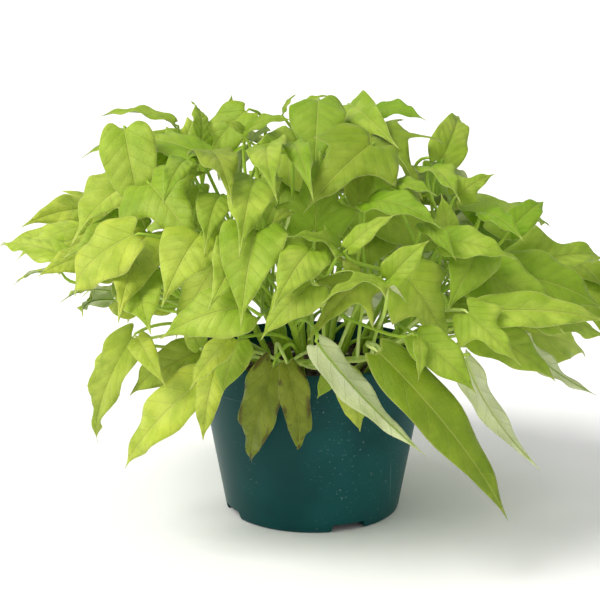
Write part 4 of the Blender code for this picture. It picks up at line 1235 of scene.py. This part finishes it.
def pot_look():
    """Dark green moulded plastic with a soft mottle, dust specks and a few fine scratches."""
    look = Nodes("pot_green_plastic")
    here = look.here()
    cloud = look.pattern(here, "pot cloud")
    patches = look.pattern(here, "pot patches")
    dust = look.times(look.pattern(here, "pot specks"), patches)
    stretched = look.node("Mapping")
    stretched.inputs["Rotation"].default_value = SCRATCH_TURN
    stretched.inputs["Scale"].default_value = SCRATCH_STRETCH
    look.give(stretched.inputs["Vector"], here)
    scratches = look.times(look.pattern(stretched.outputs[0], "pot scratches"), patches)
    colour = look.mix(cloud, "pot", "pot light")
    colour = look.mix(dust, colour, "pot dust", most=0.32)
    colour = look.mix(scratches, colour, "pot scratch", most=0.4)
    rough = look.plus(look.times(cloud, CLOUD_ROUGHNESS), POT_ROUGHNESS)
    rough = look.plus(rough, look.times(dust, DUST_ROUGHNESS))
    look.surface({"Base Color": colour, "Roughness": rough, "Specular IOR Level": 0.12})
    height = look.minus(look.noise(here, "pot grain"), look.times(scratches, SCRATCH_DEPTH))
    look.bump(height, distance=0.06 * MM, strength=0.5)
    return look.made


def soil_look():
    """Dark peat in lumps, with paler fibres."""
    look = Nodes("soil_peat")
    here = look.here()
    lumps = look.noise(here, "peat lumps")
    colour = look.mix(look.rise(lumps, "peat lumps"), "peat", "peat light")
    colour = look.mix(look.pattern(here, "peat fibre"), colour, "peat fibre", most=0.5)
    look.surface({"Base Color": colour, "Roughness": 0.92})
    look.bump(lumps, distance=1.6 * MM, strength=1)
    return look.made


def perlite_look():
    """White grains with painted shade in their pits."""
    look = Nodes("perlite_white")
    pits = look.noise(look.here(), "perlite pits")
    # Painted shade: the grain's colour darkens in its pits, where the bump sinks
    look.surface({"Base Color": look.mix(pits, "perlite pit painted shade", "perlite"), "Roughness": 0.85})
    look.bump(pits, distance=0.3 * MM, strength=0.8)
    return look.made


def crumbs(name, look):
    """Lumpy grains sunk a little into the soil's surface."""
    count, sizes, seed = GRAINS[name]
    draw = random.Random(seed)
    bm = bmesh.new()
    reach = inner_radius(SOIL_TOP) - GRAIN_MARGIN
    for _ in range(count):
        radius = reach * math.sqrt(draw.random())
        centre = around(draw.uniform(0, math.tau), radius)
        size = draw.uniform(*sizes)
        stretch = [draw.uniform(*pair) for pair in GRAIN_STRETCH]
        centre.z = soil_height(centre.x, centre.y) + size * GRAIN_RISE
        for vertex in bmesh.ops.create_icosphere(bm, subdivisions=1, radius=size)["verts"]:
            lump = noise.noise(vertex.co / size * LUMP_SCALE + centre * LUMP_SHIFT)
            vertex.co = centre + scaled(vertex.co, stretch) * (1 + LUMP_HEIGHT * lump)
    return place(name, mesh_of(name, bm), look)


def fine_pot(look):
    """The pot with rounded edges, a rolled lip, and its drainage notches."""
    profile = [(RIM_RADIUS - inward * MM, POT_HEIGHT - down * MM) for inward, down in LIP_PROFILE]
    profile += [(RIM_RADIUS - inward * MM, BAND_FOOT + up * MM) for inward, up in BAND_PROFILE]
    profile += [(wall_radius(height), height) for height in WALL_HEIGHTS]
    profile += [FOOT_EDGE, (FOOT_RADIUS - FOOT_BEVEL, 0), (FOOT_RADIUS - FOOT_RING, 0)]
    profile += [(0, 0), (0, POT_FLOOR)]
    profile += [(inner_radius(height), height) for height in (POT_FLOOR, BAND_FOOT)]
    profile += [(RIM_RADIUS - POT_WALL, POT_HEIGHT - LIP_DROP), profile[0]]
    pot = turned("pot_shell", profile, FINE_POT_SIDES, look)
    bm = bmesh.new()
    bmesh.ops.create_cube(bm, size=1)
    for vertex in bm.verts:
        width = NOTCH_WIDTH * (NOTCH_TAPER if vertex.co.z > 0 else 1)
        vertex.co = scaled(vertex.co, (2 * NOTCH_DEPTH, width, 2 * NOTCH_HEIGHT))
    notch = mesh_of("fine_notch", bm)
    cutters = []
    for index in range(NOTCH_COUNT):
        angle = NOTCH_FIRST + index * math.tau / NOTCH_COUNT - math.pi / 2
        cutter = place(f"fine_notch_{index}", notch)
        cutter.location = around(angle, FOOT_RADIUS)
        cutter.rotation_euler.z = angle
        cutters.append(cutter)
        cut = pot.modifiers.new(cutter.name, "BOOLEAN")
        cut.operation = "DIFFERENCE"
        cut.solver = "EXACT"
        cut.object = cutter
    mesh = evaluated_mesh(pot)
    pot.modifiers.clear()
    pot.data = mesh
    for cutter in cutters:
        bpy.data.objects.remove(cutter)
    mesh.set_sharp_from_angle(angle=SHARP_EDGE)
    return pot


def studio():
    """A pale floor, one broad key light from the upper left, and the photograph's camera."""
    bm = bmesh.new()
    bmesh.ops.create_grid(bm, x_segments=1, y_segments=1, size=FLOOR_REACH)
    look = Nodes("floor_pale")
    look.surface({"Base Color": "floor", "Roughness": 0.9, "Specular IOR Level": 0.1})
    floor = place("floor", mesh_of("floor", bm), look.made)
    floor.location.z = -FLOOR_DROP
    world = bpy.data.worlds.new("studio")
    world.use_nodes = True
    background = world.node_tree.nodes["Background"]
    background.inputs["Color"].default_value = (1, 1, 1, 1)
    background.inputs["Strength"].default_value = WORLD_LIGHT
    light = bpy.data.lights.new("key", "SUN")
    light.energy = KEY_LIGHT
    light.angle = KEY_SOFTNESS
    light.color = KEY_TINT
    key = place("key", light)
    key.rotation_euler = (-Vector(KEY_FROM)).to_track_quat("-Z", "Y").to_euler()
    lens = bpy.data.cameras.new("camera")
    lens.sensor_width = SENSOR_WIDTH
    lens.lens = FOCAL_PX / (2 * PICTURE_CENTRE) * SENSOR_WIDTH
    camera = place("camera", lens)
    camera.location = CAMERA
    camera.rotation_euler = (math.pi / 2 - CAMERA_PITCH, 0, CAMERA_YAW)
    scene = bpy.context.scene
    scene.world = world
    scene.camera = camera
    scene.view_settings.view_transform = "Standard"


studio()
growth = Growth()
growth.run()
leaf_material = leaf_look()
stem_material = stem_look("green")
pale_stem = stem_look("pale")
for number, route in enumerate(stem_routes()):
    own = [leaf for leaf in growth.leaves if leaf.vine == number]
    leaves = fine_leaves(number + 1, own, leaf_material)
    stems = fine_stems(number + 1, route, own, pale_stem if number < PALE_VINES else stem_material)
    for piece in (leaves, stems):
        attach(piece, "root")
    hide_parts(f"vine_{number + 1:02d}")
pot = fine_pot(pot_look())
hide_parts("pot")
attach(pot, "root")
peat = soil_look()
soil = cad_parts["soil"]
soil.data.materials.clear()
soil.data.materials.append(peat)
for piece in (crumbs("soil_crumbs", peat), crumbs("perlite", perlite_look())):
    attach(piece, "root")
